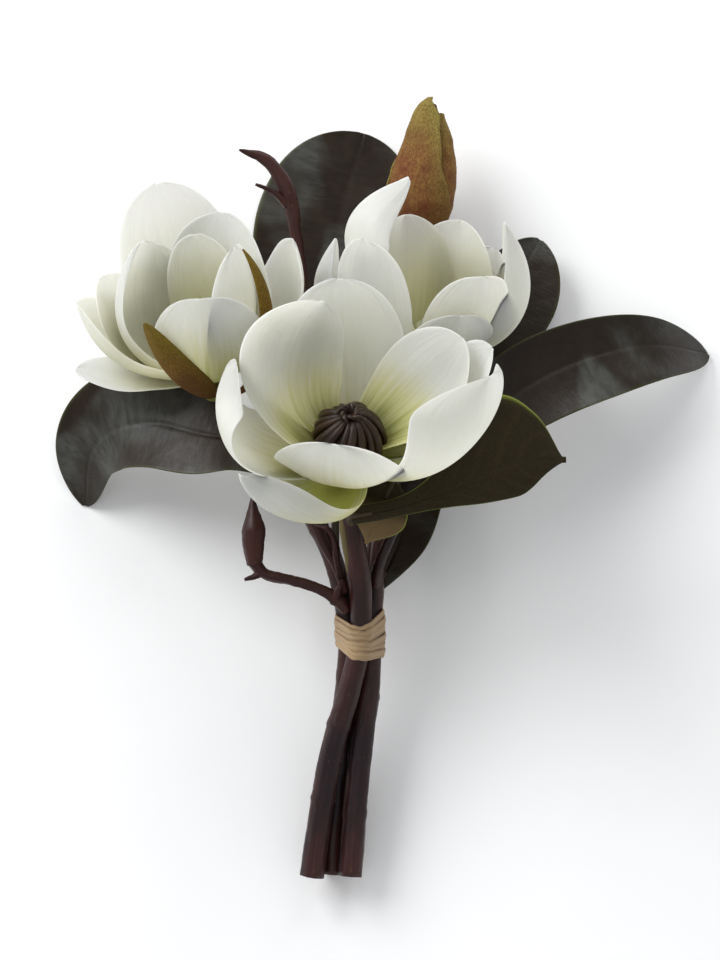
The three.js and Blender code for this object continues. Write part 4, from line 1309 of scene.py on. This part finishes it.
class MAGNOLIA_OT_leaves(bpy.types.Operator):
    """Build the seven leaves with their stalks"""

    bl_idname = "magnolia.leaves"
    bl_label = "Leaves"

    def execute(self, context):
        s = context.scene.magnolia_leaves
        upper, under = tuple(s.upper), tuple(s.under)
        finishes = [
            # a lighter copy of the upper colour and a blue-gray: painted sheen on the upper faces
            leaf_top_finish(upper, shade(upper, 1.5), paint(78, 80, 76)),
            leaf_under_finish("leaf_underside", under, shade(under, 0.8), paint(124, 102, 70)),
            edge_finish("leaf_edge", tuple(s.edge), 0.6),
            bark_finish("leaf_stalk", paint(50, 40, 28), paint(78, 66, 40), paint(112, 102, 68), 0.35),
        ]
        for i, row in enumerate(LEAVES):
            leaf(row, s.thickness * PER_METRE, finishes, i * 1.3)
        return {"FINISHED"}


class MAGNOLIA_OT_wood(bpy.types.Operator):
    """Build the three stems and the two bare twigs"""

    bl_idname = "magnolia.wood"
    bl_label = "Stems and twigs"

    def execute(self, context):
        s = context.scene.magnolia_wood
        bark, brown = tuple(s.bark), tuple(s.twig)
        stem_bark = bark_finish("stem_bark", bark, paint(62, 32, 26), paint(104, 80, 60), 0.24, 0.25)
        twig_bark = bark_finish("twig_bark", brown, paint(62, 28, 20), paint(96, 62, 46), 0.38, 0.5)
        cut = cut_finish(bark, paint(120, 92, 66))
        pale = bark_finish("stipule", paint(96, 84, 52), paint(124, 108, 68), paint(150, 136, 96), 0.4)
        stems(s, stem_bark, cut, pale)
        twig("top_twig", "twig_top", TOP_TWIG, twig_bark, cut, 31)
        twig("low_twig", "twig_low", LOW_TWIG, twig_bark, cut, 41)
        return {"FINISHED"}


class MAGNOLIA_OT_tie(bpy.types.Operator):
    """Wind the raffia round the stems"""

    bl_idname = "magnolia.tie"
    bl_label = "Tie"

    def execute(self, context):
        raffia = tuple(context.scene.magnolia_wood.raffia)
        tie(raffia_finish(raffia, shade(raffia, 0.42)))
        return {"FINISHED"}


# each: where it is, what it is turned to, how wide it is, and its colour
LIGHTS = {
    "key_light": ((-2.3, 1.8, 2.1), (0, 0, 0.05), 2.4, (0.99, 0.995, 1)),
    "back_light": ((0.6, 3.0, 1.9), (0, 0.05, 0.05), 2.2, (1, 0.99, 0.975)),
}


def area_light(name, place, target, size, colour, power):
    bpy.ops.object.light_add(type="AREA", location=place)
    lamp = active()
    lamp.name = name
    lamp.rotation_euler = (Vector(target) - Vector(place)).to_track_quat("-Z", "Y").to_euler()
    lamp.data.shape = "DISK"
    lamp.data.size, lamp.data.energy, lamp.data.color = size, power, colour


FLOOR_SIZE = 8
SKY = (0.965, 0.98, 1, 1)
CAMERA_AT = (-0.01405, -0.2712, 1.4236)
CAMERA_AIM = (-0.01405, -0.00409, 0.04937)
CAMERA_SENSOR, CAMERA_LENS = 36, 109.4


class MAGNOLIA_OT_stage(bpy.types.Operator):
    """Lay the pale floor, the soft lights and the camera"""

    bl_idname = "magnolia.stage"
    bl_label = "Stage"

    def execute(self, context):
        s = context.scene.magnolia_stage
        bpy.ops.object.select_all(action="DESELECT")
        bpy.ops.mesh.primitive_plane_add(size=FLOOR_SIZE, location=(0, 0, 0))
        floor = active()
        floor.name = "floor"
        floor.data.materials.append(floor_finish(tuple(s.floor)))
        world = bpy.data.worlds.new("studio")
        world.use_nodes = True
        sky = world.node_tree.nodes["Background"].inputs
        sky["Color"].default_value, sky["Strength"].default_value = SKY, s.world
        context.scene.world = world
        for name, power in (("key_light", s.key), ("back_light", s.back)):
            area_light(name, *LIGHTS[name], power)
        bpy.ops.object.camera_add(location=CAMERA_AT)
        camera = active()
        camera.name = "camera"
        aim = Vector(CAMERA_AIM) - camera.location
        camera.rotation_euler = aim.to_track_quat("-Z", "Y").to_euler()
        camera.data.sensor_width, camera.data.lens = CAMERA_SENSOR, CAMERA_LENS
        context.scene.camera = camera
        context.scene.view_settings.view_transform = "Standard"
        return {"FINISHED"}


# ---- add-on ----

OPERATORS = (
    MAGNOLIA_OT_blooms, MAGNOLIA_OT_cones, MAGNOLIA_OT_bud, MAGNOLIA_OT_leaves, MAGNOLIA_OT_wood,
    MAGNOLIA_OT_tie, MAGNOLIA_OT_stage,
)
GROUPS = {
    "magnolia_blooms": MagnoliaBloomSettings,
    "magnolia_leaves": MagnoliaLeafSettings,
    "magnolia_wood": MagnoliaWoodSettings,
    "magnolia_fur": MagnoliaFurSettings,
    "magnolia_stage": MagnoliaStageSettings,
}


class MAGNOLIA_PT_panel(bpy.types.Panel):
    """The sizes and colours of the bunch, and the operators that build it"""

    bl_idname = "MAGNOLIA_PT_panel"
    bl_label = "Tied magnolia bunch"
    bl_space_type = "VIEW_3D"
    bl_region_type = "UI"
    bl_category = "Magnolia"

    def draw(self, context):
        for name, group in GROUPS.items():
            box = self.layout.box()
            for key in group.__annotations__:
                box.prop(getattr(context.scene, name), key)
        for operator in OPERATORS:
            self.layout.operator(operator.bl_idname)


CLASSES = (*GROUPS.values(), *OPERATORS, MAGNOLIA_PT_panel)


def register():
    for cls in CLASSES:
        bpy.utils.register_class(cls)
    for name, group in GROUPS.items():
        setattr(bpy.types.Scene, name, PointerProperty(type=group))


def unregister():
    for name in GROUPS:
        delattr(bpy.types.Scene, name)
    for cls in reversed(CLASSES):
        bpy.utils.unregister_class(cls)


def main():
    register()
    bpy.ops.magnolia.blooms()
    bpy.ops.magnolia.cones()
    bpy.ops.magnolia.bud()
    bpy.ops.magnolia.leaves()
    bpy.ops.magnolia.wood()
    bpy.ops.magnolia.tie()
    bpy.ops.magnolia.stage()


if __name__ == "__main__":
    main()
